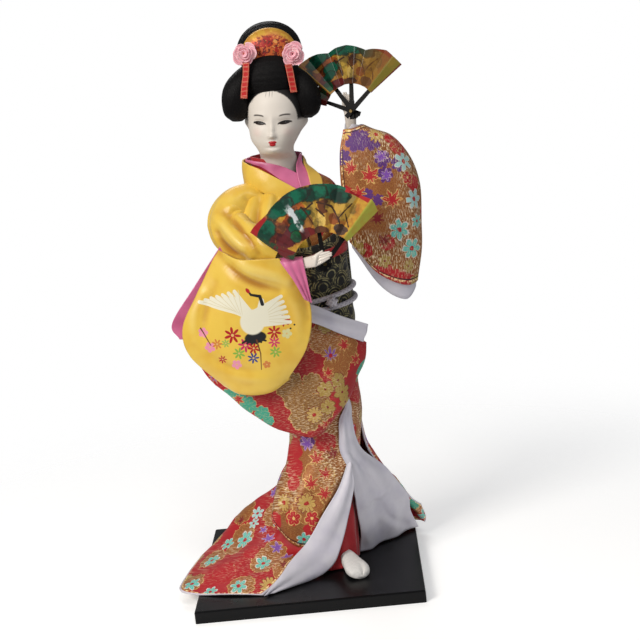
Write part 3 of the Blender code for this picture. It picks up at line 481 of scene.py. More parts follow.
def normals_of(rows):
    """The surface's direction at each point of the rows."""
    du = np.gradient(rows, axis=1)
    dv = np.gradient(rows, axis=0)
    n = np.cross(du, dv)
    return n / np.maximum(np.linalg.norm(n, axis=2, keepdims=True), 1e-12)


def ripple(x, y, z, scale, seed=0.0):
    """Smooth noise from -1 to 1."""
    return noise.noise(Vector((x * scale + seed, y * scale + 3.1 * seed, z * scale + 7.7 * seed)))


PIECES = []


def mesh_piece(name, bm, material, node, smooth_faces=True):
    """Makes the mesh a piece of the scene that stands for the named node."""
    mesh = bpy.data.meshes.new(name)
    bm.to_mesh(mesh)
    bm.free()
    if smooth_faces:
        mesh.polygons.foreach_set("use_smooth", [True] * len(mesh.polygons))
    mesh.materials.append(material)
    piece = bpy.data.objects.new(name, mesh)
    scene.collection.objects.link(piece)
    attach(piece, "root")
    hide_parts(node)
    PIECES.append(piece)
    return piece


def thicken(piece, thick):
    wall = piece.modifiers.new("wall", "SOLIDIFY")
    wall.thickness = thick
    wall.offset = 0


def join(bm, part):
    """Adds the part's faces to bm."""
    mesh = bpy.data.meshes.new("part")
    part.to_mesh(mesh)
    part.free()
    bm.from_mesh(mesh)
    bpy.data.meshes.remove(mesh)


def grid(rows, wrap=False, cap=False, fold=None):
    """A bmesh over rows of points with a UV map in metres along the surface."""
    rows = np.asarray(rows)
    along, across = rows.shape[:2]
    bm = bmesh.new()
    bmesh.ops.create_grid(bm, x_segments=across - 1, y_segments=along - 1, size=1)
    layer = bm.loops.layers.uv.new("UVMap")
    border, depth = bm.verts.layers.float.new("edge"), bm.verts.layers.float.new("fold")
    steps = [np.linalg.norm(np.diff(rows, axis=a), axis=2).mean(axis=a - 1) for a in (0, 1)]
    down, over = [np.concatenate([[0], np.cumsum(s)]) for s in steps]
    sides = over * 0 + 1 if wrap else np.minimum(over, over[-1] - over)
    flat = np.stack(np.meshgrid(over, down), axis=2).reshape(-1, 2)
    reach = np.minimum(np.minimum(down, down[-1] - down)[:, None], sides[None, :]).ravel() + 0.0001
    folds = np.zeros(along * across) if fold is None else fold.ravel()
    for vertex, point, far, deep in zip(bm.verts, rows.reshape(-1, 3), reach, folds):
        vertex.co = point
        vertex[border] = far
        vertex[depth] = deep
    for face in bm.faces:
        for loop in face.loops:
            loop[layer].uv = flat[loop.vert.index]
    if wrap:
        bmesh.ops.remove_doubles(bm, verts=bm.verts, dist=WELD)
    if cap:
        bmesh.ops.holes_fill(bm, edges=bm.edges, sides=0)
        bmesh.ops.recalc_face_normals(bm, faces=bm.faces)
    return bm


def pressed(rows, strokes, closed):
    """Rows with folds pressed in along lines seen from the front, and how far each point was pressed.

    A stroke is half width, height, then x, z of each point, in millimetres.
    """
    n = normals_of(rows)
    if closed:
        outward = (n * (rows - rows.mean(axis=1, keepdims=True))).sum(axis=2, keepdims=True)
        n = n * np.where(outward < 0, -1, 1)
    else:
        n = n * np.where(n[..., 1:2] > 0, -1, 1)
    facing = np.clip(-n[..., 1] * 2, 0, 1)
    moved = np.zeros(rows.shape[:2])
    for wide, high, *line in strokes:
        line = smooth(np.array(line, float), 24)
        far = np.stack([np.hypot(rows[..., 0] / MM - x, rows[..., 2] / MM - z) for x, z in line])
        along = far.argmin(axis=0) / 23
        moved += high * np.exp(-((far.min(axis=0) / wide) ** 2)) * np.sin(math.pi
                                                                          * np.clip(along, 0.12,
                                                                                    0.88)) ** 0.6
    return rows + n * (moved * facing * MM)[..., None], moved * facing


def cloth(name, rows, thick, material, node, wrap=False, folds=None, fold=None):
    """A sheet of cloth, made from the rows and thickened.

    folds(u, v, point) gives how far a point moves along the surface's direction, in millimetres.
    fold is how far each point was pressed.
    """
    rows = np.array(rows, float)
    if folds:
        n = normals_of(rows)
        along, across = rows.shape[:2]
        for j in range(along):
            for i in range(across):
                rows[j, i] += n[j, i] * folds(i / (across - 1), j / (along - 1), rows[j, i] / MM) * MM
    piece = mesh_piece(name, grid(rows, wrap, fold=fold), material, node)
    thicken(piece, thick)
    return piece


def ring(centre, right, up, count=16, power=2.0):
    a = np.linspace(0, 2 * math.pi, count + 1)[:, None]
    c, s = np.cos(a), np.sin(a)
    share = 2 / power
    return centre + np.sign(c) * np.abs(c) ** share * right + np.sign(s) * np.abs(s) ** share * up


def at(x, y, z):
    return np.array((x, y, z)) * MM


def turned(*turns):
    """A rotation from angles in degrees and their axes."""
    matrix = Matrix.Identity(4)
    for angle, axis in turns:
        matrix = matrix @ Matrix.Rotation(math.radians(angle), 4, axis)
    return matrix


def tube(path, radii, count, steps, flat=1.0):
    """Rings along a smooth path, each square to it."""
    points = smooth(path, steps)
    sizes = smooth(np.array(radii)[:, None], steps)[:, 0]
    rings = []
    for i, point in enumerate(points):
        ahead = Vector(points[min(i + 1, steps - 1)] - points[max(i - 1, 0)]).normalized()
        side = ahead.cross(Vector((0, -1, 0)))
        if side.length < 0.2:
            side = ahead.cross(Vector((0, 0, 1)))
        side.normalize()
        front = side.cross(ahead)
        rings.append(ring(point, np.array(side) * sizes[i], np.array(front) * sizes[i] * flat, count))
    return rings


# The body's stations, as in the part's source: height, middle in x and y, half width, half depth
BODY = mm(
    (38, 3, -2, 9, 9), (52, 7, -1, 12, 11), (67, 13.5, 0, 15.5, 12.5), (85, 16.5, 1, 16.5, 13.5),
    (95, 17, 1.5, 16.5, 14), (105, 17.2, 2, 15.6, 13.5), (125, 18, 2, 14.8, 12.5), (150, 18, 2, 14.6, 12),
    (175, 16.5, 1, 15.3, 12), (195, 13.5, 0, 17, 12.5), (208, 12, 0, 22, 12.5), (215, 10.5, 0, 20.5, 11.5),
    (221, 7.2, 0.5, 15, 10.5), (227, 4.6, 1, 12.8, 9.8), (235, 3, 1.5, 11.6, 9.8),
)
FLARE = mm((19, -4, -2, 4, 4), (24, -4, -2, 5.5, 5), (34, -3.5, -1.5, 8, 6.5), (42, -1.5, -1, 7.5, 6),
           (52, -0.7, -0.5, 5.5, 4.5), (62, 0, 0, 2.5, 2), (75, 0, 0, 0, 0))
UNDERSKIRT = mm((7.4, 11.5, -6, 14.7, 17.5), (20, 12.3, -4, 14.5, 14.2), (33, 13.2, -3, 14.3, 13.5),
                (45, 13, -2, 13.3, 12.5), (60, 12.7, -0.5, 14.2, 12.1), (75, 15, 0.4, 15.4, 12.6),
                (88, 16.7, 1.2, 15.8, 13))
DENSE = {id(t): smooth(t, 200) for t in (BODY, FLARE, UNDERSKIRT)}


def station(table, z):
    dense = DENSE[id(table)]
    return np.array([np.interp(z, dense[:, 0], dense[:, i]) for i in range(1, 5)])


def on_body(angle, z, out, flare=False):
    cx, cy, rx, ry = station(BODY, z) + (station(FLARE, z) if flare else 0)
    a = math.radians(angle)
    return np.array([cx + (rx + out) * math.sin(a), cy - (ry + out) * math.cos(a), z])


CLOTH, LINING = 0.9 * MM, 0.7 * MM  # thickness of a pressed sheet
WHITE_THICK, RIBBON_THICK, PETAL_THICK, PAPER_THICK = 1.3 * MM, 0.6 * MM, 0.35 * MM, 0.5 * MM
SKIRT_OUT, SHOULDER_OUT = 2.5 * MM, 1.3 * MM  # from the body
SKIRT_TOP, BODICE_FOOT = 147, 178  # heights in millimetres
GAP = 0.3 * MM  # between glued pieces


def column(out, across, along):
    """Rows of the wrapped skirt at a distance from the body."""
    heights = [h for h, _, _ in OPENING]
    rows = []
    for v in np.linspace(0, 1, along):
        row = []
        for u in np.linspace(0, 1, across):
            hem = np.interp(-280 + 360 * u, HEM[:, 0], HEM[:, 1])
            z = np.interp(v, (0, 0.4, 1), (SKIRT_TOP, 82, hem))
            first = np.interp(z, heights, [a for _, a, _ in OPENING])
            last = np.interp(z, heights, [b for _, _, b in OPENING])
            row.append(on_body(first + (last - first) * u, z * MM, out, flare=True))
        rows.append(row)
    return np.array(rows)


def inside(angle, z):
    return on_body(angle, z * MM, 1.75 * MM) / MM


def above_plinth(rows, thick):
    rows[..., 2] = np.maximum(rows[..., 2], GROUND * MM + GAP + thick / 2)
    return rows


def spread(rails, across, along, thick, floor=True):
    """A sheet's rows through rails in millimetres, kept off the plinth if it spreads there."""
    rows = patch([mm(*rail) for rail in rails], across, along)
    return above_plinth(rows, thick) if floor else rows


# Where the wrapped skirt ends below, and where it is open: angle, height; then height, first and last angle
HEM = smooth([(-280, 75), (-220, 66), (-160, 58), (-130, 50), (-110, 42), (-90, 34), (-70, 29.5),
              (-50, 26.5), (-20, 22.5), (0, 20), (30, 19.5), (80, 20)], 60)
OPENING = [(18, -165, 36), (24, -165, 36), (34, -168, 36), (42, -172, 42), (52, -180, 52), (62, -205, 65),
           (74, -250, 78), (80, -280, 80), (150, -280, 80)]
TRAIN = [
    [(4, -13, 33), (1, -17, 24), (-3, -23, 16.5), (-9, -32, 17.5), (-15.5, -40, 12.5), (-24.8, -47.8, 7.4)],
    [(-6, -12, 40), (-10, -14, 32), (-15, -18, 23), (-26, -27, 17), (-40, -34, 12), (-60.2, -38.6, 7.4)],
    [(-6, -4, 50), (-12, -4, 41), (-17, -6, 30), (-30, -11, 24), (-47, -17, 16), (-71, -24.6, 7.4)],
    [inside(228, 62), (-10, 12, 50), (-20, 15, 43), (-31, 19, 35), (-43, 25, 22), (-57, 31, 7.4)],
    [inside(205, 74), (0, 21, 57), (-5, 25, 44), (-11, 33, 31), (-17, 41, 19), (-24, 48, 7.4)],
    [inside(170, 80), (20, 20, 62), (22, 26, 48), (24, 34, 34), (26, 43, 20), (26, 53, 7.4)],
    [inside(130, 84), (32, 15, 66), (37, 21, 52), (43, 28, 37), (50, 36, 22), (57, 44, 7.4)],
    [inside(104, 86), (36.5, 7, 70), (42, 13, 56), (49, 20, 40), (57, 28, 24), (66, 36.5, 7.6)],
    [inside(82, 88), (37.2, 1, 68), (43, 6, 56), (50.5, 13, 42), (57, 20.5, 30), (64.5, 33, 20)],
]
TURNED_EDGE = [
    [(27.2, -13.6, 67), (20.1, -18.2, 52.3), (10.4, -22.4, 39.7), (0.2, -24.6, 25.6), (-8.4, -33.2, 19.8),
     (-15, -41.4, 14.3), (-24.2, -49.4, 7.4)],
    [(27.8, -14.6, 64), (24.4, -18.4, 51), (17.2, -22.4, 36), (9.4, -24.8, 22), (1.8, -31, 15.4),
     (-8, -39, 11.6), (-21.5, -47.8, 7.4)],
    [(28, -14.6, 61.5), (27.8, -15.8, 50.8), (22.4, -19.4, 33.1), (17.2, -23.6, 19.4), (11.7, -26.4, 11),
     (1.5, -33, 7.4), (-17.6, -45, 7.4)],
]
SIDE_FLAP = [
    [(26.6, -15.4, 104), (28.1, -13.6, 96.3), (24.1, -15.6, 89), (23.1, -16.2, 80), (22.8, -16.2, 72),
     (24.8, -15.4, 65), (26.5, -14.2, 60.5), (27.9, -13.2, 53), (28.5, -11, 38), (28.8, -7, 23),
     (28.6, -4, 15.6), (27.4, -1.2, 7.4)],
    [(28, -14.8, 104), (29.6, -13, 96), (27.4, -14.4, 88.5), (27, -14.8, 79.6), (27.4, -14, 71.6),
     (30, -12, 65.4), (33, -8.4, 60), (36, -4.6, 52), (39.4, 0, 38.6), (42, 5.6, 25.6), (43, 9.6, 16.6),
     (43.6, 13.6, 7.4)],
    [(29.4, -14, 104), (31, -12, 95.4), (30.8, -12.6, 88), (31.6, -10.8, 79), (33.2, -7.8, 72),
     (35.6, -3.6, 66.4), (39.8, 2, 60.6), (46.4, 7, 52.6), (52.6, 13, 41), (57.2, 18.6, 30.4),
     (57.8, 22.6, 19.6), (61.2, 28.6, 8.2)],
]
DROPPED = [
    [(-46, -17, 126.4), (-34, -20.4, 133), (-12, -22, 143), (8, -21, 149), (28, -18.6, 140),
     (42.6, -7, 127.6)],
    [(-42, -19, 120), (-31, -23, 120), (-10, -27, 122), (10, -26.4, 122), (29, -21.6, 118),
     (41.2, -8.4, 121)],
    [(-36.6, -20, 115), (-23.4, -24, 102), (-3, -26.6, 91), (12, -26, 88.4), (29, -20.4, 102),
     (38.8, -9, 115.6)],
    [(-35.3, -18, 114), (-21.8, -21, 99.8), (-2, -22.4, 87.2), (13, -21.6, 85.4), (29.6, -16.6, 100.4),
     (38.2, -6.6, 114)],
    [(-36.8, -16, 116), (-22.6, -18.4, 102.6), (-3, -18.2, 91), (12, -17, 89), (29.4, -13.6, 102),
     (38.8, -4, 115)],
    [(-42, -15.6, 122), (-31, -18, 121), (-10, -18.2, 122), (12, -15.4, 122), (28, -12.6, 120),
     (40.6, -3.6, 121)],
]
WHITE_FOLD = [
    [(2, -26.6, 159), (17.4, -24.6, 153.8), (31, -18.8, 145.6), (44.6, -11.4, 138.2)],
    [(1, -28.4, 155.6), (16.8, -26.4, 149.6), (30, -20.4, 141.6), (42.8, -12.6, 133.8)],
    [(0, -28.8, 151), (16.4, -26.6, 145.2), (29, -20.8, 137), (40.9, -12.2, 129.2)],
]
SLEEVE = [
    [(43.4, 2.4, 240), (40.6, 5.2, 229), (39.4, 6.4, 213), (39.6, 6.4, 197), (40.2, 4.8, 182.6)],
    [(47, 4.8, 241), (50, 9, 229), (52.6, 10.6, 208), (53.4, 9.6, 186), (53.4, 7.4, 165.6)],
    [(51, 3.8, 241.6), (63.4, 6.4, 233.6), (70, 8, 212), (70.6, 7.4, 188), (65.6, 5.4, 158)],
    [(53, -0.6, 241.6), (70.6, -0.6, 231), (79, -1, 210), (77.6, -1, 184), (73.4, -1, 157.4)],
    [(51, -5.4, 241.6), (63.4, -8, 233.6), (70, -10, 212), (70.6, -9.6, 188), (66.8, -7.8, 156.6)],
    [(46.6, -6.6, 241), (49.4, -10.6, 229), (52, -12.6, 208), (52.8, -12, 186), (53, -9.6, 164.4)],
    [(42.4, -4.6, 240.8), (39.4, -7.4, 229), (38.2, -8.4, 213), (38.6, -8.6, 197), (39.4, -7.4, 182.2)],
]
INNER = [
    [(x + dx, y + dy, z + dz) for (x, y, z), dz in zip(rail, (-3, 0, 0, -2, drop))]
    for rail, dx, dy, drop in zip(SLEEVE, (1.2, 0.3, -0.9, -1.5, -0.9, 0.3, 1.2),
                                  (-1, -1.5, -1.4, 0, 1.4, 1.5, 1), (-3, -7, -9, -3, -8, -7, -3))
]
UPPER = [
    ((-7, -3, 209), 11, 10), ((-17, -7, 206.4), 12.5, 11), ((-22.5, -12, 201), 13, 11),
    ((-22, -19, 196), 12.5, 9.5), ((-17, -27, 192.4), 11.5, 8), ((-9, -33, 190), 10.5, 7.2),
    ((-2, -37, 187.4), 9, 6), ((2.6, -39, 184.6), 7.4, 4.8),
]
BAG = [
    [(-27.7, -30, 188.6), (-17, -40.5, 184.4), (-7, -43.4, 183.6), (3.8, -44.6, 183.2)],
    [(-41.4, -31, 166), (-22, -39.6, 166), (-4, -42, 168), (13.4, -41, 168.6)],
    [(-50.6, -31, 149.6), (-28, -38.6, 148), (-6, -40.4, 148), (16.6, -37.6, 152)],
    [(-48.4, -30.6, 134.6), (-28, -37.4, 130), (-8, -38.4, 129), (12, -36, 134.6)],
    [(-34.3, -31, 119.4), (-25, -35.2, 115.6), (-10, -36, 115), (1.4, -34, 119.8)],
    [(-33.6, -29.4, 118.2), (-23.6, -32.4, 113.2), (-9, -32.6, 113), (1.6, -31.6, 118.6)],
    [(-35.4, -28.4, 121.4), (-25, -29.4, 117), (-10, -29.6, 117), (1.4, -29.4, 121.6)],
    [(-49.4, -28.4, 137), (-28, -29.4, 132), (-8, -29.6, 131), (11.4, -29.6, 137)],
    [(-48, -28, 154), (-27, -29, 152), (-6, -29.6, 152), (14.8, -30.6, 154)],
]
PINK_SIDE = [
    [(-26.6, -25.6, 190), (-42, -26.4, 171), (-56.4, -26.6, 152.4), (-53.6, -26.4, 143.6)],
    [(-17, -27, 186), (-29, -27.2, 168), (-38, -27, 152), (-40, -26.6, 142)],
]
CUFF = [
    [(2.4, -36, 182), (3.4, -43, 182.6), (5.6, -45.8, 179), (9.6, -46, 172), (14.4, -43.8, 161)],
    [(15.2, -36, 181.4), (15.4, -42.4, 182), (15.8, -44.6, 178), (16.6, -43.8, 170), (17.2, -41.4, 158.6)],
]


# Cloth colours that several pieces share
brocade_cloth = brocade("brocade_red")
brocade_bright = brocade("brocade_copper", COPPER, 1.0, seam_and_shade=1.0)
brocade_sleeve = brocade("brocade_sleeve", COPPER, 1.0, seam_and_shade=1.0, thread=(2.3, 0.45))
brocade_piped = brocade("brocade_piped", piping=1.0)
white_satin = satin("white_lining_satin", (0.62, 0.60, 0.66), (0.46, 0.44, 0.54), rough=0.42)
red_crepe = crepe("red_crepe_cloth", (0.50, 0.012, 0.02))
yellow_satin = satin("yellow_satin_cloth", YELLOW, (0.70, 0.38, 0.02), rough=0.34, wrinkle=0.12)
pink_satin = satin("pink_satin_cloth", (0.66, 0.16, 0.32), (0.42, 0.06, 0.16), rough=0.34)


def brocaded(piece, under, over, more_under, more_over):
    """Prints both layers: the motifs placed for the camera, and more scattered over the rest."""
    under, over = seen(piece, under), seen(piece, over)
    print_motifs(piece.data, "under", scatter(piece.data, *more_under, under))
    print_motifs(piece.data, "over", scatter(piece.data, *more_over, over, 1.15))


# Skirt and underskirt
def skirt_folds(u, v, p):
    """Long shallow folds that fall from the hip and fan out to the left."""
    angle = -280 + 360 * u
    fall = 0.9 * math.sin(math.radians(angle * 5 + 60 * v)) * min(1, v * 1.6)
    creases = 0.8 * ripple(p[0], p[1], p[2] * 0.25, 0.11, 2)
    return (fall + creases) * 0.7


skirt = cloth(
    "skirt_cloth", column(SKIRT_OUT + CLOTH / 2, 130, 80), CLOTH, brocade_bright, "skirt",
    wrap=True, folds=skirt_folds,
)
SKIRT_UNDER = motifs_at(
    -18,
    red_field=[(-2, 76, 8, 0), (-2.3, 66, 6.5, 30), (-3.4, 57, 4.5, 0), (-5, 88, 8, 0), (-7, 37, 4.5, 0),
               (16, 78, 6, 0), (3, 29, 5, 0)],
    purple=[(6, 80, 5, 0)],
    copper=[(10, 58, 9, 0), (2, 42, 9, 0), (-11, 47, 7, 0)],
) + motifs_at(
    -16,
    red_field=[(-18, 36, 5, 0)],
)
SKIRT_OVER = motifs_at(
    -18,
    leaf=[(5.8, 78, 6, 30)],
    maple=[(10.4, 68.5, 6.2, 10), (14, 60.5, 5.6, 50), (5, 54.4, 6, 0), (12.6, 48.6, 6, 30)],
    dark_maple=[(19.6, 71, 5.4, 70)],
    daisy=[(-10.3, 46.6, 5.6, 0), (1.6, 44.2, 6, 20)],
    red_blossom=[(-6.6, 36.6, 4.4, 0), (3.6, 36, 4.4, 30), (6, 29.5, 4, 0)],
    teal=[(-2, 24, 4.5, 0)],
    plain=[(-2, 72, 5, 0), (-2.4, 62, 4, 0)],
)
brocaded(skirt, SKIRT_UNDER, SKIRT_OVER, (8, ["red_field", "purple"], (5, 8), 3),
         (40, ["maple", "daisy", "blossom", "leaf", "teal", "red_blossom"], (4, 5.6), 4))


def underskirt_rows(top, hem, along, across):
    rows = []
    a = np.linspace(0, 2 * math.pi, across)
    for z in np.linspace(top, hem, along) * MM:
        cx, cy, rx, ry = station(UNDERSKIRT, z)
        rows.append(np.stack([cx + rx * np.sin(a), cy - ry * np.cos(a), np.full(across, z)], axis=1))
    return np.array(rows)


cloth(
    "underskirt_cloth", underskirt_rows(88, 7.4, 60, 91), LINING, red_crepe, "underskirt_red",
    wrap=True,
    folds=lambda u, v, p: 0.7 * v * math.sin(2 * math.pi * u * 11 + 2 * ripple(*p, 0.05)),
)


# Train and its turned edges
def train_folds(u, v, p):
    """Folds that run from the skirt to the hem, deeper as the cloth spreads."""
    swell = math.sin(2 * math.pi * (u * 6.5 + 0.12 * math.sin(5 * v))) * 1.5
    fine = ripple(*p, 0.06, 5) * 1.6 + ripple(*p, 0.16, 8) * 0.5
    return (swell + fine) * min(1, v * 1.5) * (1 - max(0, v - 0.75) * 3.4)


train = cloth(
    "train_cloth", spread(TRAIN, 170, 66, CLOTH), CLOTH, brocade_piped, "train",
    folds=train_folds,
)
TRAIN_UNDER = motifs_at(
    -30,
    copper=[(-33, 33, 9, 0), (-38, 27, 6, 0), (-51, 22.5, 8.5, 30), (-23, 17.5, 9, 60), (-17, 24, 6.5, 0),
            (-12, 17, 6.5, 20), (-63, 11, 8, 0), (-38, 6.5, 8, 0), (-13, 8, 7, 0)],
    red_field=[(-46, 14.5, 7, 0), (-30, 25, 5, 0)],
) + motifs_at(
    30,
    copper=[(62, 22, 8, 0)],
) + motifs_at(
    24,
    copper=[(56, 42, 8, 0)],
)
TRAIN_OVER = motifs_at(
    -30,
    teal=[(-32.6, 31.5, 6.2, 0), (-50.6, 22.1, 5.2, 20), (-24.6, 17.4, 4.8, 50), (-64.4, 9.4, 5, 0),
          (-39, 6.2, 5, 10)],
    pale_teal=[(-23.6, 45.5, 4.2, 40), (-26.6, 40, 3.6, 0)],
    leaf=[(-19.6, 31, 5.4, 10), (-16.2, 25.4, 5, 70), (-11.6, 19.6, 4.6, 0), (-22, 36.4, 3.6, 40)],
    dark_maple=[(-33, 42, 4.4, 20), (-13, 11, 4, 0)],
    blossom=[(-57, 24, 3.6, 0)],
    plain=[(-46, 14.5, 7, 0), (-31, 23.5, 4, 0)],
) + motifs_at(
    30,
    teal_cloud=[(62, 26, 6, 0)],
) + motifs_at(
    24,
    teal=[(58, 40, 5, 0)],
)
brocaded(train, TRAIN_UNDER, TRAIN_OVER, (16, ["copper"], (7, 10), 5),
         (44, ["teal", "maple", "leaf", "daisy", "pale_teal", "blossom"], (4.2, 5.8), 6))
cloth(
    "train_lining_cloth", spread(TURNED_EDGE, 26, 90, LINING), LINING, white_satin, "train_lining",
    folds=lambda u, v, p: 0.35 * math.sin(2 * math.pi * (u * 1.5 + v * 0.6)) + 0.3 * ripple(*p, 0.12, 3),
)
SIDE_CREASES = [
    (1.0, 0.9, (31.3, 37.2), (38.9, 37.6), (47.4, 40.6)),
    (1.6, -0.8, (28.0, 68.9), (33.8, 58.2), (40.3, 42.4), (52.3, 27.0)),
    (1.4, 0.8, (25.8, 94.4), (25.8, 80.4), (27.8, 67.5)),
    (2.2, -0.9, (41.7, 34.5), (45.6, 22.0), (55.2, 11.6)),
    (1.8, 0.7, (29.5, 34.4), (30.2, 21.8), (32.8, 8.0)),
]
rows, _ = pressed(spread(SIDE_FLAP, 70, 110, LINING), SIDE_CREASES, False)
cloth(
    "side_lining_cloth", above_plinth(rows, LINING), LINING, white_satin, "side_lining",
    folds=lambda u, v, p: 0.8 * math.sin(2 * math.pi * (u * 2.2 + v * 0.4)) * v + 0.5 * ripple(*p, 0.1, 9),
)

# The sleeve slipped off at the hip, and the white fold above it
dropped = cloth(
    "dropped_sleeve_cloth", spread(DROPPED, 90, 110, CLOTH), CLOTH, brocade_cloth, "dropped_sleeve",
    folds=lambda u, v, p: 0.55 * ripple(*p, 0.07, 4) + 0.4 * math.sin(p[0] * 0.32 + p[2] * 0.12)
    * (u < 0.55),
)
DROPPED_UNDER = motifs_at(
    -25,
    cloud=[(4, 106, 9, 0), (0, 112, 8, 30), (7, 94, 9, 10), (14, 99, 9, 0), (12, 112, 6, 0)],
    copper=[(21, 136, 9, 20), (31, 130, 9, 0), (26, 121, 8, 60)],
    teal_cloud=[(-26.6, 107.8, 5.6, 0), (-22, 104.4, 5.2, 30), (-16.2, 99.4, 4.6, 0), (-31, 110.6, 4.8, 0),
                (-13, 95, 3.4, 0)],
)
DROPPED_OVER = motifs_at(
    -25,
    star=[(23.4, 126.5, 6.4, 0)],
    maple=[(31.4, 131, 5.2, 20), (36.4, 123, 4.8, 50), (21, 117, 4.2, 0), (17, 90, 3.6, 30)],
    blossom=[(18.7, 108, 5.2, 20), (27.2, 107, 5.2, 50), (19, 99.8, 4.8, 0), (26, 112.6, 4.8, 10),
             (28, 100.8, 4.2, 30)],
    daisy=[(11.4, 95, 5, 0)],
    plain=[(-10.9, 104, 10, 0), (-5, 93, 6, 0), (2, 86, 6, 0), (4, 106, 6.5, 0)],
)
brocaded(dropped, DROPPED_UNDER, DROPPED_OVER, (5, ["copper", "teal_cloud"], (6, 9), 7),
         (10, ["maple", "daisy", "star", "blossom"], (4.2, 5.4), 8))
cloth("white_fold_cloth", spread(WHITE_FOLD, 22, 60, WHITE_THICK), WHITE_THICK, white_satin, "white_fold",
      folds=lambda u, v, p: 0.4 * math.sin(2 * math.pi * u * 1.4 + 4 * v))

# Raised sleeve with its white inner sleeve
sleeve = cloth(
    "sleeve_raised_cloth", spread(SLEEVE, 120, 110, CLOTH, floor=False), CLOTH, brocade_sleeve,
    "sleeve_raised",
    folds=lambda u, v, p: (0.8 * ripple(p[0], p[1], p[2] * 0.4, 0.09, 6) + 0.35
                           * math.sin(p[0] * 0.5 + p[2] * 0.08)) * min(1, 3 * v + 0.2),
)
SLEEVE_UNDER = motifs_at(
    -10,
    purple=[(48.7, 235, 6.5, 0), (56, 234, 5.5, 20), (60, 224, 4.6, 0), (61.5, 216, 4.4, 0),
            (41, 227, 4.4, 0), (51, 206.6, 3.6, 0), (57, 203.6, 3.2, 0)],
    red_field=[(69, 230, 5.5, 0), (75, 210, 4.5, 0), (55, 165, 6, 0), (62, 160, 6, 0), (70, 157, 6, 0),
               (65, 234, 3, 0)],
)
SLEEVE_OVER = motifs_at(
    -10,
    maple=[(53.4, 215, 7.4, 0), (44.5, 220.5, 6, 40), (64.2, 201.5, 7.6, 20), (69, 230, 5.2, 70),
           (47.4, 207, 5.8, 10)],
    pale_teal=[(71, 222, 5.6, 0), (74.5, 202, 5.6, 30)],
    teal=[(65.6, 186.4, 6, 0), (71, 176, 6, 20), (75, 190, 4, 0)],
    leaf=[(60, 225, 5.2, 20), (62, 215.6, 4.6, 60), (50, 200, 3.6, 0)],
    dark_maple=[(55, 193, 6.4, 0), (57.5, 181, 5.6, 40)],
    blossom=[(57, 171, 4.2, 0), (68.6, 166.6, 4, 30)],
    red_blossom=[(72.5, 213, 3.8, 0)],
    plain=[(50, 228, 3, 0)],
)
brocaded(sleeve, SLEEVE_UNDER, SLEEVE_OVER, (12, ["red_field", "purple"], (4, 6), 9),
         (44, ["maple", "daisy", "star", "blossom", "teal", "leaf", "red_blossom"], (4.2, 6), 10))
cloth(
    "sleeve_inner_cloth", spread(INNER, 90, 70, LINING, floor=False), LINING, white_satin,
    "sleeve_raised_lining",
    folds=lambda u, v, p: 0.3 * ripple(*p, 0.12, 2),
)


# Bodice and collars
def bodice(node, first, last, out, thick, material, tops):
    """Cloth round the upper body between two angles, up to the heights in tops."""
    rows = []
    for v in np.linspace(0, 1, 40):
        row = []
        for a in np.linspace(first, last, 80):
            top = np.interp(abs(a), (20, 35, 70, 110, 150), tops)
            row.append(on_body(a, (BODICE_FOOT + (top - BODICE_FOOT) * v) * MM, out + thick / 2))
        rows.append(row)
    return cloth(node + "_cloth", rows, thick, material, node,
                 folds=lambda u, v, p: 0.35 * ripple(*p, 0.1, first))


def band(node, edges, out, thick, material, crease):
    """A collar band: its two edges are given as (angle round the body, height)."""
    rails = [[on_body(angle, z * MM, out + thick / 2) for angle, z in edge] for edge in edges]
    rows = patch(rails, 22, 90)
    cloth(node + "_cloth", rows, thick, material, node,
          folds=lambda u, v, p: crease * math.sin(math.pi * u) + 0.12 * ripple(*p, 0.2, 5))


bodice("bodice_yellow", -172, 8, GAP, LINING, yellow_satin, (207, 213.5, 221, 225, 230))
tops = (207, 213.5, 225, 228, 230)
shoulder = bodice("bodice_brocade", 14, 190, SHOULDER_OUT, CLOTH, brocade_cloth, tops)
brocaded(shoulder, [], [], (12, ["copper"], (6, 9), 11),
         (16, ["teal", "daisy", "leaf", "maple"], (3.6, 5.2), 12))
gold_satin = satin("gold_edging", (0.72, 0.46, 0.07), (0.5, 0.28, 0.03), rough=0.36)
# Distance from the body, thickness, material, slot, crease, upper edge, lower edge
COLLARS = {
    "under_collar_red": (-1.2, 0.7, red_crepe, "red_crepe", 0,
                         [(-150, 232), (-90, 231.8), (-45, 231), (-8, 229), (18, 225)],
                         [(-150, 228), (-90, 227), (-45, 225), (-12, 220), (14, 214)]),
    "collar_pink_left": (1.1, 0.8, pink_satin, "pink_satin", 0.3,
                         [(-178, 233), (-100, 230.8), (-50, 229.8), (-10, 228), (18, 225), (36, 220)],
                         [(-178, 229), (-100, 229.5), (-55, 228.5), (-25, 226), (-5, 219.5), (16, 209)]),
    "collar_pink_right": (2.0, 0.8, pink_satin, "pink_satin", 0.3,
                          [(178, 233), (100, 231.2), (70, 229.4), (47, 225.8), (31, 221.2), (16, 214)],
                          [(178, 229), (110, 229), (80, 228.6), (63, 225), (49, 219), (29, 209)]),
    "collar_yellow": (2.8, 0.9, yellow_satin, "yellow_satin", 0.5,
                      [(-178, 232.4), (-100, 230.4), (-60, 228.4), (-30, 225.6), (-8, 220.6), (13, 212.5)],
                      [(-178, 222), (-110, 219.5), (-70, 217), (-38, 214.5), (-18, 208), (-2, 200)]),
    "collar_gold": (2.8, 0.8, gold_satin, "gold_trim", 0,
                    [(178, 230), (130, 229.4), (96, 228.8), (68, 226), (47, 220), (27, 208.6)],
                    [(178, 227), (130, 227), (100, 227), (76, 224.4), (58, 217), (37, 204.6)]),
}
for name, (out, thick, material, slot, crease, upper, lower) in COLLARS.items():
    band(name, [upper, lower], out * MM, thick * MM, material, crease)


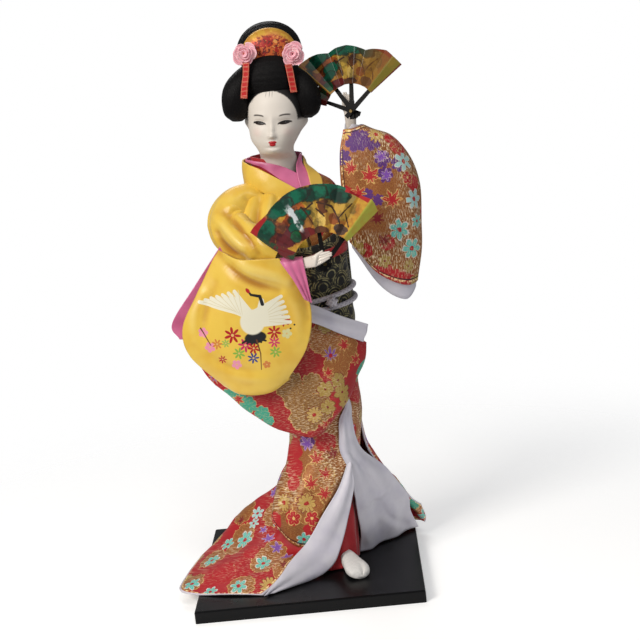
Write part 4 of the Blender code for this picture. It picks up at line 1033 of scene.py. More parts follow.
# Obi with its printed circles, sash, cords and drum knot
def obi_look():
    """Black silk with overlapping rows of olive-gold arcs."""
    look = Look("obi_black_silk", sheen=0.15, specular=0.35)
    across, up, _ = look.split(look.uv)
    wide, tall = 11.0, 5.6
    reach, hidden = 9, 0
    for k in range(3):
        # The discs of lower rows lie over those of the rows above
        row = (up / tall).floor() + (k - 1)
        x = ((across / wide + row * 0.5).fract() - 0.5) * wide
        y = up - row * tall
        far = hypot(x, y)
        inside = far.past(5.9, 6.0)
        reach = reach + (far - reach) * (inside * (1 - hidden))
        hidden = inside.max(hidden)
    rings = [(reach - r).abs().past(0.16, 0.5) for r in (5.3, 4.2, 2.5)]
    gold = rings[0].max(rings[1]).max(rings[2])
    worn = look.grain(420, 3).step(0.32, 0.55)
    weave = (across * 10).sin() * (up * 10).sin()
    colour = look.mix(gold * worn, (0.010, 0.010, 0.009), (0.30, 0.27, 0.13))
    colour = look.shade(colour, 0.85 + look.grain(900, 3) * 0.4)
    return look.done(colour, 0.6 - gold * 0.12, gold * 0.3, gold + weave * 0.35, 0.08)


def wrapped(low, high, rise, out):
    """The obi's rows between two heights in millimetres, its upper edge risen at the right."""
    rows = []
    for share in np.linspace(0, 1, 44):
        z = low + (high - low) * share
        rows.append([on_body(a, (z + rise * share * max(0, math.sin(math.radians(a))) ** 2) * MM, out)
                     for a in np.linspace(0, 360, 150)])
    return np.array(rows)


obi_cloth = obi_look()
OBI_OUT, OBI_THICK = SKIRT_OUT + CLOTH + GAP, 1.6 * MM
ON_OBI = OBI_OUT + OBI_THICK + GAP
cloth("obi_wrap", wrapped(139, 183, 7, OBI_OUT + OBI_THICK / 2), OBI_THICK, obi_cloth, "obi",
      wrap=True,
      folds=lambda u, v, p: 0.25 * math.sin(v * 9 * math.pi + 0.6 * math.sin(u * 12)) + 0.15
      * ripple(*p, 0.1, 1))


def hoop(low, lift, turn, section, count):
    """Rows round the body, tilted: section gives each row's height above the first, and its distance."""
    return np.array([[on_body(a, (low + lift * math.sin(math.radians(a - turn)) + h) * MM, out)
                      for a in np.linspace(0, 360, count)] for h, out in section])


SASH_THICK, SASH_TALL, CORD_RADIUS = 1.2 * MM, 5, 1.3
sash = hoop(174, 4, 10, [(h, ON_OBI + SASH_THICK / 2) for h in np.linspace(0, SASH_TALL, 6)], 150)
cloth("obi_sash_cloth", sash, SASH_THICK, red_crepe, "obi_sash_red", wrap=True,
      folds=lambda u, v, p: 0.3 * math.sin(2 * math.pi * u * 3 + v * 5))


def cord_look():
    """A round braid of pale grey threads."""
    look = Look("obi_cord_braid", rough=0.6, sheen=0.3)
    along, around, _ = look.split(look.uv)
    left, right = (along * 2.2 + around * 2.3).sin(), (along * 2.2 - around * 2.3).sin()
    braid = left.max(right)
    # Painted shade: the grooves between the strands are darker, following the same braid as the bump
    colour = look.mix(braid * 0.5 + 0.5, (0.34, 0.31, 0.36), (0.56, 0.53, 0.57))
    return look.done(colour, bump=braid, deep=0.12)


cord_braid = cord_look()


def cord_ring(node, low, lift, turn):
    around = np.radians(np.linspace(0, 360, 17))
    section = [(math.sin(b) * CORD_RADIUS, ON_OBI + (1 + math.cos(b)) * CORD_RADIUS * MM) for b in around]
    mesh_piece(node + "_braid", grid(hoop(low, lift, turn, section, 160), wrap=True), cord_braid, node)


cord_ring("obi_cord_upper", 155.4, 3.4, 20)
cord_ring("obi_cord_lower", 150.6, 2, 50)


def form(name, centre, half, material, node, shape=None, segments=64, rings=40):
    """A rounded form: shape(direction) gives how far it reaches there, as a share of its half sizes."""
    bm = bmesh.new()
    bmesh.ops.create_uvsphere(bm, u_segments=segments, v_segments=rings, radius=1, calc_uvs=True)
    layer = bm.loops.layers.uv.active or bm.loops.layers.uv.new("UVMap")
    for vertex in bm.verts:
        reach = shape(vertex.co.copy()) if shape else 1
        vertex.co = Vector(at(*centre)) + Vector([vertex.co[i] * half[i] * reach * MM for i in range(3)])
    for face in bm.faces:
        for loop in face.loops:
            offset = loop.vert.co / MM - Vector(centre)
            loop[layer].uv = (math.atan2(offset.x, -offset.y) * half[0] * MM, offset.z * MM)
    return mesh_piece(name, bm, material, node)


form("obi_cord_knot_braid", (27, -17.4, 153.2), (3.1, 2.4, 2.8), cord_braid, "obi_cord_knot",
     lambda d: 1 + 0.12 * math.sin(6 * math.atan2(d.z, d.x)) * (1 - d.y * d.y))
# The drum bow's rings from end to end: place across, half depth, half height
DRUM = [
    (-6, 5.0, 15), (-5.4, 5.8, 16.0), (-4.5, 6.3, 16.7), (0, 6.8, 17.4), (6, 7.2, 18), (18, 7.4, 18.3),
    (30, 7.2, 18), (36, 6.8, 17.4), (40.5, 6.3, 16.7), (41.4, 5.8, 16), (42, 5.0, 15),
]
DRUM_Y, DRUM_Z, DRUM_LENGTH = 28.5, 163, 0.91
drum = [ring(at(x * DRUM_LENGTH, DRUM_Y, DRUM_Z), at(0, deep, 0), at(0, 0, tall), 48, 3.0)
        for x, deep, tall in DRUM]
drum = smooth(np.array(drum), 60).transpose(1, 0, 2)
mesh_piece("obi_drum", grid(drum, wrap=True, cap=True), obi_cloth, "obi_knot")


# Yellow sleeve: the puffed upper part with its hollow fold, and the bag that hangs from the wrist
def upper_rows(steps, sides):
    path = smooth([at(*p) for p, _, _ in UPPER], steps) + at(1.9, 0, 0)
    wide = smooth(np.array([[w - 1.5, d] for _, w, d in UPPER]) * MM, steps)
    rows = []
    for i, point in enumerate(path):
        t = i / (steps - 1)
        ahead = Vector(path[min(i + 1, steps - 1)] - path[max(i - 1, 0)]).normalized()
        front = Vector((0, -1, 0)) - Vector((0, -1, 0)).dot(ahead) * ahead
        side = np.array(ahead.cross(front.normalized()))
        front = np.array(front.normalized())
        row = []
        for k in range(sides + 1):
            a = 2 * math.pi * k / sides
            fold = 1 + 0.04 * math.sin(3 * a + 0.9 * 12 * t) * math.sin(math.pi * t)
            creases = 0.03 * math.sin(5 * a - 14 * t + 2 * math.sin(3 * a)) * math.sin(math.pi * t) ** 0.7
            row.append(point + (side * math.cos(a) * wide[i, 0] + front * math.sin(a) * wide[i, 1])
                       * (fold + creases * (math.sin(a) > -0.2)))
        rows.append(row)
    return np.array(rows)


# Ridges are above the surface and hollows below it
UPPER_FOLDS = [
    (2.1, 0.9, (-17.5, 212.7), (-10.7, 213.9), (-4.8, 210.3), (2.1, 205.3)),
    (2.0, -1.4, (-11.0, 211.8), (-5.1, 207.8), (0.8, 201.0)),
    (2.9, 1.1, (-19.6, 209.5), (-13.7, 203.5), (-7.8, 195.3), (-3.7, 188.4)),
    (2.9, -2.0, (-21.9, 205.8), (-15.8, 200.3), (-9.8, 193.0), (-6.6, 186.5)),
    (2.3, 1.5, (-27.3, 203.3), (-21.4, 197.8), (-15.6, 191.5), (-10.5, 184.9)),
    (2.6, -2.1, (-27.0, 196.7), (-24.7, 191.3), (-20.1, 186.6), (-14.9, 184.2)),
    (2.3, 1.0, (-31.8, 198.8), (-29.4, 190.3), (-24.3, 183.9), (-15.9, 182.9)),
    (3.1, -0.7, (-24.6, 209.5), (-28.3, 204.1), (-29.9, 198.6)),
]
rows, fold = pressed(upper_rows(150, 170), UPPER_FOLDS, True)
cloth("sleeve_upper_cloth", rows, CLOTH, yellow_satin, "sleeve_yellow_upper",
      wrap=True,
      folds=lambda u, v, p: 0.3 * ripple(*p, 0.06, 3), fold=fold)


# The part of the sleeve that hangs between the shoulder and the wrist, seen behind the fan
DRAPE = [
    [(-12, -9, 215), (-15, -19, 206), (-14, -28, 196), (-9, -33, 188)],
    [(-3, -13.5, 213), (-5, -22.5, 204), (-6, -29.5, 195), (-4, -35, 187)],
    [(8, -15.4, 211), (6, -21, 203), (4, -27.5, 195), (3, -34.5, 187)],
]
DRAPE_FOLDS = [(2.2, 1.4, (2, 210), (0, 200), (-3, 190)), (2.0, -1.4, (-4, 209), (-6, 200), (-8, 190))]
rows, fold = pressed(spread(DRAPE, 40, 70, LINING, floor=False), DRAPE_FOLDS, False)
cloth("sleeve_drape_cloth", rows, LINING, yellow_satin, "sleeve_yellow_upper",
      folds=lambda u, v, p: 0.5 * math.sin(math.pi * 5 * u + 3 * v), fold=fold)


def crane_look():
    """Yellow satin printed with a crane over leaves and blossoms, drawn from ellipses and strokes."""
    look = Look("yellow_crane_satin", sheen=0.2)
    x, y, z = look.split(look.object)
    outside = (y + 33.2).past(0.0, 0.8) * look.split(look.normal, 1)[1].past(-0.05, 0.05)
    soft = look.grain(90, 2)
    # Painted shade: the yellow turns towards its shadow colour in soft random patches, and the folds add
    # painted shade in the hollows and a painted highlight on the ridges
    base = fold_shade_and_highlight(look, look.mix(soft.step(0.35, 0.75) * 0.5, YELLOW, YELLOW_SHADOW), YELLOW_SHADOW)
    state = {"colour": base}

    def over(shape, colour):
        state["colour"] = look.mix(shape * outside, state["colour"], colour)

    def ellipse(cx, cz, rx, rz, turn):
        c, s = math.cos(math.radians(turn)), math.sin(math.radians(turn))
        u, v = ((x - cx) * c + (z - cz) * s) / rx, ((z - cz) * c - (x - cx) * s) / rz
        return hypot(u, v).past(0.92, 1.08)

    def stroke(ax, az, bx, bz, wide_a, wide_b):
        far, share = from_line(x - ax, z - az, bx - ax, bz - az)
        return (far - (share * (wide_b - wide_a) + wide_a)).past(-0.12, 0.12)

    def flower(cx, cz, r, turn, petals, sharp, inner, colour):
        u, v = (x - cx) / r, (z - cz) / r
        petal = ((v.atan2(u) + math.radians(turn)) * petals * 0.5).cos().abs().pow(sharp)
        shape = (inner + petal * (1 - inner) - hypot(u, v)).step(0.0, 0.08)
        over(shape, colour)
        over(shape * hypot(u, v).past(0.14, 0.2), PALE_GOLD)

    petals = {"maple": (7, 1.5, 0.3), "blossom": (5, 0.5, 0.55)}
    for kind, *numbers, colour in CRANE:
        if kind == "ellipse":
            over(ellipse(*numbers), colour)
        elif kind == "stroke":
            over(stroke(*numbers), colour)
        else:
            cx, cz, radius, turn = numbers
            flower(cx, cz, radius, turn, *petals[kind], colour)
    return look.done(state["colour"], soft * 0.14 + 0.30, bump=look.grain(160, 3) * 0.12, deep=0.35)


# The print on the bag, from the back to the front: shape, sizes in millimetres seen from the front, colour
FEATHER, FEATHER_LINE, EARTH = (0.80, 0.76, 0.60), (0.66, 0.58, 0.36), (0.13, 0.04, 0.012)
CRANE = (
    [("maple", -24.6, 145.6, 4.6, 10, RED), ("maple", -18.6, 139.8, 4.0, 40, (0.55, 0.02, 0.10)),
     ("maple", -3.2, 145.2, 3.8, 70, RED), ("maple", -3.8, 140, 3.2, 20, (0.60, 0.03, 0.12)),
     ("maple", 2.4, 150.6, 3.4, 0, RED), ("maple", -14.6, 137.8, 3.4, 80, RED),
     ("maple", -22.4, 135.8, 3.4, 30, (0.22, 0.42, 0.05)),
     ("maple", -3.8, 134.6, 3.2, 60, (0.22, 0.42, 0.05)),
     ("maple", -15.4, 132.6, 3.2, 0, (0.03, 0.05, 0.22)), ("blossom", -24.4, 129.8, 2.8, 20, PINK),
     ("blossom", -39.9, 147.6, 2.8, 0, PINK), ("blossom", -37.2, 139.8, 3.0, 30, PINK),
     ("maple", -33.2, 141.4, 3.0, 50, ORANGE), ("blossom", 3.0, 143.6, 2.8, 10, (0.66, 0.62, 0.30)),
     ("maple", -28.6, 141.6, 2.4, 10, (0.30, 0.45, 0.08)), ("blossom", -9, 128.4, 2.2, 50, ORANGE),
     ("maple", -31.4, 133, 2.4, 0, RED), ("stroke", -41, 150, -36.6, 141, 0.35, 0.25, EARTH),
     ("ellipse", 5.2, 146, 0.5, 0.5, 0, BLACK), ("ellipse", 7.4, 147.8, 0.5, 0.5, 0, BLACK),
     ("ellipse", -13, 143.4, 5.6, 3.2, 4, BLACK)]
    + [("stroke", -18 + 0.8 * i, 158 - 0.8 * i, -40 + 3.2 * i, 163.4 + 0.8 * i, 2.6, 0.9, FEATHER)
       for i in range(7)]
    + [("stroke", -23 + 0.8 * i, 158.6 - 0.5 * i, -38 + 3.2 * i, 163.2 + 0.9 * i, 0.10, 0.16, FEATHER_LINE)
       for i in range(7)]
    + [("stroke", -11, 156 - i, 2.4 + 0.6 * i, 163.4 - 2.8 * i, 2.4, 0.9, FEATHER) for i in range(6)]
    + [("stroke", -5, 157 - 1.2 * i, 2.2 + 0.6 * i, 162.6 - 2.8 * i, 0.10, 0.16, FEATHER_LINE)
       for i in range(6)]
    + [("stroke", -14, 144, -20 + 2.4 * i, 141.4 - 0.5 * (3 - abs(i - 2.5)), 0.9, 0.5, BLACK)
       for i in range(6)]
    + [("stroke", -12.6, 142, -11.4, 134.6, 0.4, 0.3, EARTH),
       ("stroke", -11.4, 134.6, -12.1, 126.0, 0.3, 0.2, EARTH),
       ("ellipse", -13.6, 151.6, 6.2, 6.6, -8, FEATHER),
       ("stroke", -8.2, 158, -7.6, 162.4, 2.2, 1.2, FEATHER),
       ("stroke", -7.4, 160.4, -8.2, 164.6, 0.9, 0.8, BLACK),
       ("stroke", -8.2, 164.6, -12.6, 165.8, 0.8, 0.6, BLACK),
       ("stroke", -12.6, 165.8, -14.6, 169, 0.6, 0.35, BLACK), ("ellipse", -14, 168, 0.9, 1.4, 30, RED)]
)
BAG_FOLDS = [
    (2.8, -1.8, (-27, 187), (-18, 177), (-8, 170.5), (2, 167)),
    (3.2, 1.5, (-22, 185.5), (-12, 179), (-2, 175), (7, 171)), (2.2, -1.0, (11, 169), (14, 160), (15, 150)),
    (3.0, 1.0, (-38, 167), (-44, 156), (-45, 144)), (2.8, -1.0, (-30, 173), (-37, 160), (-40, 148)),
    (3.0, 0.8, (4, 168), (9, 154), (8, 140)), (2.6, 0.8, (-32, 128), (-22, 122), (-10, 120.6)),
    (3.0, -0.8, (-38, 136), (-28, 129), (-16, 126)),
]
rows, fold = pressed(spread([list(r) for r in zip(*BAG)], 90, 190, CLOTH, floor=False), BAG_FOLDS, True)
cloth(
    "sleeve_bag_cloth", rows, CLOTH, crane_look(), "sleeve_yellow_bag",
    folds=lambda u, v, p: 0.5 * ripple(*p, 0.05, 7) * min(1, 4 * v), fold=fold,
)
cloth("pink_side_cloth", spread(PINK_SIDE, 36, 70, LINING, floor=False), LINING, pink_satin,
      "sleeve_lining_pink",
      folds=lambda u, v, p: 0.5 * math.sin(math.pi * u) + 0.2 * ripple(*p, 0.15, 1))
cloth("cuff_cloth", spread(CUFF, 36, 70, LINING, floor=False), LINING, pink_satin, "cuff_pink",
      folds=lambda u, v, p: 0.45 * math.sin(2 * math.pi * u * 2.5 + 2 * v) * v + 0.2 * ripple(*p, 0.2, 1))


# Skin: white, with the face drawn on
HEAD_CENTRE = Vector((8.3, -5.0, 251.5)) * MM
HEAD_TURN = turned((4, "Y"), (-6, "Z"), (4, "X"))
# Height, middle, half width and half depth of each level, in millimetres from the head's middle
HEAD_LEVELS = (
    (-34.4, 3.2, 9.7, 8.6), (-28, 2.9, 9.7, 8.5), (-22, 1.6, 9.4, 9), (-19.6, -0.6, 9.2, 9.8),
    (-17.6, -2.8, 9.0, 11.4), (-15, -3.6, 9.8, 12.2), (-11.5, -3.0, 11.9, 13.5), (-8, -2.2, 13.3, 14.3),
    (-5, -1.2, 14.2, 15), (-1, -0.4, 14.6, 15.6), (5, 0.4, 15.2, 16), (10, 1, 14.4, 15.4),
    (15, 1.5, 11.8, 12.8), (18.6, 2, 7.2, 8.2), (20, 2, 2, 2.4),
)


def bell(x, wide):
    return math.exp(-((x / wide) ** 2))


EYES, BROWS, NOSE, LIPS = -1.9, 2.3, -8.2, -11.9  # heights above the head's middle, in millimetres


def features(x, h):
    """How far the face stands out at a place on it, in millimetres."""
    ax = abs(x)
    n, l, e = h - NOSE, h - LIPS, h - EYES
    ridge = 2.1 * bell(n, 1.5) + 1.5 * bell(n - 2.8, 2.6) + 0.6 * bell(n - 7, 3.2)
    nose = bell(x, 1.3 + 0.3 * bell(n - 0.3, 2)) * ridge
    wings = 0.25 * bell(ax - 1.4, 0.7) * bell(n + 0.3, 0.9)
    under = -0.25 * bell(x, 1.3) * bell(n + 1.6, 0.7)
    sockets = -0.9 * bell(ax - 5.8, 3.4) * bell(e - 0.2, 1.9)
    lids = 0.5 * bell(ax - 6.4, 3.0) * bell(e + 0.2, 1.0)
    brow = 0.4 * bell(ax - 6.6, 4) * bell(h - BROWS + 0.4, 1.7)
    lips = 0.7 * bell(x, 1.9) * bell(l - 0.5, 0.6) + 0.8 * bell(x, 1.5) * bell(l + 0.8, 0.75)
    lips -= 0.15 * bell(x, 2.2) * bell(l, 0.25)
    chin = 0.7 * bell(x, 3.0) * bell(h + 15.8, 1.4) - 0.45 * bell(x, 3.4) * bell(l + 2.3, 0.7)
    cheeks = 0.7 * bell(ax - 7.4, 3.4) * bell(h + 6.6, 3.4)
    return nose + wings + under + sockets + lids + brow + lips + chin + cheeks


def face_look():
    """White skin with narrow eyes, thin brows and red lips, under a hairline painted in fine strands."""
    look = Look("face_white", specular=0.35)
    offset = look.offset(look.fixed(HEAD_CENTRE))
    axes = [look.fixed(HEAD_TURN.to_3x3() @ Vector(axis)) for axis in ((1, 0, 0), (0, 1, 0), (0, 0, 1))]
    x, y, h = [look.dot(offset, axis) * 1000 for axis in axes]
    ax = x.abs()
    front = y.past(-9, -6)
    state = {"colour": look.mix(look.grain(60, 2) * 0.3, SKIN, SKIN_WARM)}

    def paint(share, colour):
        state["colour"] = look.mix(share * front, state["colour"], colour)

    def spot(cx, ch, rx, rh, low=0.9, high=1.15):
        """A soft-edged ellipse on both halves of the face."""
        return hypot((ax - cx) / rx, (h - ch) / rh).past(low, high)

    paint(spot(8.2, -6.4, 4.4, 3.8, 0.0, 1.0) * 0.2, (0.75, 0.36, 0.32))
    # The upper lid's line rises to the outer corner, and the eye lies under it
    e = ax - 6.5
    lid, lower = EYES + 0.8 - e * e * 0.075 + e * 0.09, EYES - 0.75 + e * e * 0.07 + e * 0.08
    eye = (h - lid).past(-0.12, 0.12) * (h - lower).step(-0.12, 0.12) * e.abs().past(3.0, 3.2)
    paint(eye, (0.30, 0.25, 0.23))
    iris = hypot(e + 0.1, h - EYES - 0.1).past(2.2, 2.6)
    paint(eye * iris, (0.012, 0.007, 0.006))
    # A painted highlight: a small pale catchlight in each eye
    paint(eye * hypot(e - 0.4, h - EYES - 0.45).past(0.08, 0.18), (0.7, 0.7, 0.7))
    paint((h - lid).abs().past(0.34, 0.56) * e.abs().past(3.0, 3.8), (0.010, 0.007, 0.006))
    paint((h - lower).abs().past(0.06, 0.2) * e.abs().past(2.4, 3.2) * 0.4, (0.14, 0.07, 0.05))
    paint((h - lid - 1.1).abs().past(0.08, 0.34) * e.abs().past(2.2, 3.6) * 0.3, (0.38, 0.24, 0.18))
    b = ax - 6.7
    paint((h - (BROWS - b * b * 0.055 + b * 0.05)).abs().past(0.22, 0.6) * b.abs().past(2.0, 3.3) * 0.9,
          (0.03, 0.02, 0.018))
    # Lips: two small bows above, one below
    lips = spot(0.7, LIPS + 0.5, 1.35, 0.7).max(hypot(x / 1.6, (h - LIPS + 0.65) / 0.95).past(0.9, 1.12))
    paint(lips, (0.47, 0.012, 0.02))
    paint((h - LIPS).abs().past(0.04, 0.16) * ax.past(1.5, 2.0) * 0.6, (0.16, 0.008, 0.01))
    # Painted shade in the nostrils
    paint(spot(0.75, NOSE - 0.9, 0.35, 0.2, 0.7, 1.2) * 0.35, (0.3, 0.14, 0.12))
    strands = [(x + dx - h * lean).abs().past(thin, thick) for dx, lean, thin, thick in (
        (2.0, 0.1, 0.05, 0.22), (-0.4, 0.02, 0.04, 0.18), (4.6, 0.16, 0.04, 0.18))]
    strand = strands[0].max(strands[1]).max(strands[2])
    paint(strand * h.step(10.4, 12.4) * 0.7, (0.03, 0.02, 0.02))
    # Hair outside an arch round the forehead, and over the back of the head
    comb = look.noise(look.vector((x + 0.8).atan2(h) * 9, 0.0, y * 0.1), 2.0, 2)
    arch = hypot((x + 0.8) / 13.0, h / 13.9) + comb * 0.05
    hair = (arch.step(1.01, 1.06) * h.step(-2.0, 0.0)).max(y.step(0.5, 3.0) * h.step(-15, -13))
    colour = look.mix(hair, state["colour"], (0.008, 0.007, 0.007))
    return look.done(colour, 0.52 - lips * front * 0.2 - eye * front * 0.25)


levels = smooth(HEAD_LEVELS, 150)
rings = []
for h, cy, rx, ry in levels:
    loop = ring(at(0, cy, h), at(rx, 0, 0), at(0, ry, 0), 128)
    for point in loop:
        x, y = point[0] / MM, point[1] / MM
        if y < cy:
            point[1] -= features(x, h) * min(1, (cy - y) / 8) * MM
        # The jaw narrows, and the ears show below the hair
        point[0] -= 0.9 * MM * bell(h + 13, 5) * abs(x) / 10
        point[0] += math.copysign(2.2, x) * bell(h + 2.6, 3.4) * bell(y - 0.5, 2.2) * (abs(x) > 8) * MM
    rings.append(loop)
bm = grid(rings, wrap=True, cap=True)
bmesh.ops.transform(bm, matrix=Matrix.Translation(HEAD_CENTRE) @ HEAD_TURN, verts=bm.verts)
mesh_piece("head_skin", bm, face_look(), "head")

skin = Look("hand_white", rough=0.42, coat=0.2)
skin = skin.done(skin.mix(skin.grain(90, 2) * 0.5, SKIN, (0.68, 0.58, 0.50)))


# Hair
def hair_look(name, *scales):
    """Black hair combed in fine strands, with a soft gloss."""
    look = Look(name, specular=0.10)
    strands = look.noise(look.stretched(*scales), 2.2, 4, 0.65)
    look.put("Anisotropic", 0.4)
    colour = look.mix(strands, (0.002, 0.002, 0.0025), (0.007, 0.006, 0.006))
    return look.done(colour, strands * 0.25 + 0.32, bump=strands, deep=0.3)


hair_across = hair_look("hair_combed_across", 0.06, 1.4, 1.4)
hair_down = hair_look("hair_combed_down", 1.4, 1.4, 0.08)


def lobe(name, node, centre, half, material, shape=None):
    form(name, centre, half, material, node, shape, 96, 64)


def comb(d):
    """Shallow grooves that run round a lobe."""
    return 1 + 0.008 * math.sin(26 * math.atan2(d.z, d.y)) * (1 - d.x * d.x)


lobe("hair_cap_form", "hair_cap", (8.4, 3, 261.5), (17.6, 17.6, 16), hair_down)
lobe("hair_roll_form", "hair_front_roll", (8.2, -7.6, 271.8), (15.2, 12.6, 12.8), hair_across, comb)
lobe("hair_topknot_form", "hair_topknot", (8.3, 1.6, 285), (16.9, 12, 14.7), hair_across, comb)
lobe("hair_bag_form", "hair_bag", (7.8, 17.5, 250.5), (10, 8.5, 12), hair_down)
WINGS = {
    "hair_wing_left": (((-2.5, -7, 277), (-6.5, -8, 271), (-10.2, -8, 264.8), (-11.4, -8, 258),
                        (-11.6, -7.6, 253.6), (-11.8, -7.4, 251.2)), (3.5, 6.4, 7.6, 7.2, 5.6, 2.8)),
    "hair_wing_right": (((16.5, -7, 275), (21.6, -8, 268.5), (25, -8.4, 262), (25.6, -8.4, 256.4),
                         (24.6, -8, 251.8), (24.2, -7.8, 249.4)), (3.5, 6, 7, 6.8, 5.4, 2.8)),
}
for name, (path, radii) in WINGS.items():
    rings = tube(mm(*path), np.array(radii) * MM, 64, 70, 1.1)
    mesh_piece(name + "_form", grid(rings, wrap=True, cap=True), hair_down, name)


def crest_look():
    """Gold satin that turns orange-red below, printed with dark red leaves."""
    look = Look("crest_gold_red", specular=0.5)
    x, y, z = look.split(look.object)
    clump = look.grain(260, 3, 0.6)
    fine = look.grain(520, 3, 0.65)
    low = (z + 0.035 * (x - 9) * (x - 9)).past(290.5, 294)
    colour = look.mix(low, (0.60, 0.33, 0.035), (0.56, 0.12, 0.025))
    colour = look.mix(clump.step(0.47, 0.52) * (low * 0.7 + 0.3), colour, (0.36, 0.014, 0.010))
    colour = look.mix(fine.step(0.52, 0.57) * low, colour, (0.12, 0.014, 0.008))
    colour = look.mix(look.grain(760, 1).step(0.63, 0.67) * low * 0.7, colour, (0.80, 0.40, 0.10))
    return look.done(colour, clump * 0.2 + 0.34, 0.25, fine, 0.15)


crest = form("hair_crest_cushion", (8.8, -9, 283.6), (14.2, 5.6, 12.6), crest_look(), "hair_crest",
             None, 90, 60)


def rose(node, x, y, z, seed):
    """A ribbon rose: petals of satin folded round a bud."""
    bm = bmesh.new()
    rng = random.Random(seed)
    # Reach, number of petals and depth of each layer
    for reach, petals, deep in ((6.1, 6, 1.6), (4.6, 5, 0.4), (3.2, 4, -0.9), (1.7, 3, -1.9)):
        for k in range(petals):
            middle = 2 * math.pi * (k + rng.uniform(-0.3, 0.3)) / petals + reach * 1.7
            tip, lean = rng.uniform(0.86, 1.1), rng.uniform(-0.5, 0.5)
            half = math.pi / petals * 1.35
            rows = []
            for s in np.linspace(0, 1, 9):
                row = []
                for t in np.linspace(-1, 1, 13):
                    a = middle + half * t
                    r = reach * tip * (0.30 + 0.70 * math.sin(s * math.pi / 2)) * (1 - 0.2 * t * t)
                    # The rim curls back
                    curl = 5.4 * max(0, s - 0.7) ** 2
                    lift = deep + lean * t * s - 2.2 * s * (1 - 0.35 * t * t) + curl
                    row.append(at(x + r * math.cos(a), y + lift + 0.6, z + r * math.sin(a)))
                rows.append(row)
            join(bm, grid(rows))
    thicken(mesh_piece(node + "_petals", bm, rose_satin, node), PETAL_THICK)


def rose_look():
    """Pink satin, paler in random patches."""
    look = Look("rose_pink_satin", rough=0.35, sheen=0.3)
    colour = look.mix(look.grain(260, 2).step(0.42, 0.7) * 0.6, (0.92, 0.47, 0.54), (0.90, 0.66, 0.66))
    return look.done(colour, bump=look.grain(300, 2), deep=0.2)


rose_satin = rose_look()
rose("rose_left", -3.5, -18.5, 284.6, 1)
rose("rose_right", 20.8, -17.5, 281.8, 5)


def ribbon_look():
    """Red ribbon with gold borders and cross bars."""
    look = Look("ribbon_red_gold", rough=0.4)
    _, _, z = look.split(look.object)
    bars = (z * 2.6 + look.grain(300, 1) * 3).sin().step(0.3, 0.8)
    edge = look.attribute("edge", "Fac") * 1000
    border = (edge - 0.4).abs().past(0.05, 0.2)
    colour = look.mix((border * 0.6).max(bars * 0.18), (0.50, 0.014, 0.014), (0.85, 0.46, 0.26))
    return look.done(colour, bump=bars + border, deep=0.08)


ribbon_cloth = ribbon_look()
RIBBONS = {
    "ribbon_left": [[(-4.6, -18.6, 280), (-5.4, -17.6, 274), (-6.8, -16.8, 268.6), (-8, -15.8, 262.6)],
                    [(-1.2, -20, 280), (-2.2, -19, 274), (-3.4, -18.4, 268.6), (-4.6, -17.2, 262.2)]],
    "ribbon_right": [[(16.4, -19.2, 277), (16.8, -18.8, 272.6), (17.2, -18, 268), (17.6, -17, 262.8)],
                     [(19.8, -17.8, 277), (20.3, -17.6, 272.6), (20.6, -17.2, 268), (21, -16.4, 262.8)]],
}
for name, rails in RIBBONS.items():
    cloth(name + "_band", spread(rails, 8, 30, RIBBON_THICK, floor=False), RIBBON_THICK, ribbon_cloth, name)


# Arms, hands and cuff
def padding_look():
    """Wound straw."""
    look = Look("straw_padding", rough=0.9)
    straw = look.noise(look.stretched(1.2, 1.2, 0.12), 1.6, 3, 0.7)
    return look.done(look.mix(straw, (0.66, 0.52, 0.30), (0.45, 0.33, 0.16)), bump=straw, deep=0.4)


straw = padding_look()


def limb(node, path, radii):
    rings = tube(mm(*path), np.array(radii) * MM, 24, 30)
    mesh_piece(node + "_padding", grid(rings, wrap=True, cap=True), straw, node)


limb("arm_raised", ((30.4, 0, 207.5), (40, 0, 206), (49, 0, 214), (48.6, -0.5, 228), (46.6, -1.2, 240)),
     (3.4, 3.6, 3.4, 3, 2.6))
limb("arm_front", ((-6, -6, 206), (-20, -13, 199), (-16, -25, 191), (-4, -34, 184), (5, -38.5, 180.4)),
     (5, 5, 4.4, 3.4, 2.6))
torso = [[on_body(a, z * MM, (-2.6 if z < 90 else -1.2) * MM) for a in np.linspace(0, 360, 61)]
         for z in np.linspace(64, 216, 60)]
mesh_piece("body_padding", grid(torso, wrap=True, cap=True), straw, "body_core")


def hand(node, wrist, palm, tips, thumb_from, thumb_to, across, thick):
    """A palm with four fingers and a thumb, each a tapered tube."""
    wrist, palm, tips, thumb_from, thumb_to = (Vector(p) for p in (wrist, palm, tips, thumb_from, thumb_to))
    side, front = Vector(across).normalized(), Vector(thick).normalized()
    bm = bmesh.new()

    def take(rings):
        join(bm, grid(rings, wrap=True, cap=True))

    def finger(points, radii):
        take(tube([np.array(p) * MM for p in points], np.array(radii) * MM, 12, 12))

    knuckles = palm + (tips - palm) * 0.22
    path = smooth([np.array(p) * MM for p in (wrist, palm, knuckles)], 20)
    t = np.linspace(0, 1, 20)
    widths = np.interp(t, (0, 0.4, 0.9, 1), (2.7, 3.1, 3.5, 3.2)) * MM
    deeps = np.interp(t, (0, 0.5, 1), (2.0, 1.8, 1.3)) * MM
    take([ring(p, np.array(side) * w, np.array(front) * d, 28, 2.5)
          for p, w, d in zip(path, widths, deeps)])
    for k, (shift, reach) in enumerate(((-2.45, 0.86), (-0.85, 1.0), (0.8, 0.98), (2.4, 0.82))):
        start = knuckles + side * shift - (tips - palm) * 0.12
        end = knuckles + (tips - knuckles) * reach + side * shift * 0.62
        bend = (start + end) / 2 - front * 0.3 * (k % 2)
        finger((start, bend, end), (0.95, 0.88, 0.45))
    finger((thumb_from, (thumb_from + thumb_to) / 2 - front * 0.2, thumb_to), (1.15, 1.0, 0.5))
    mesh_piece(node + "_skin", bm, skin, node)


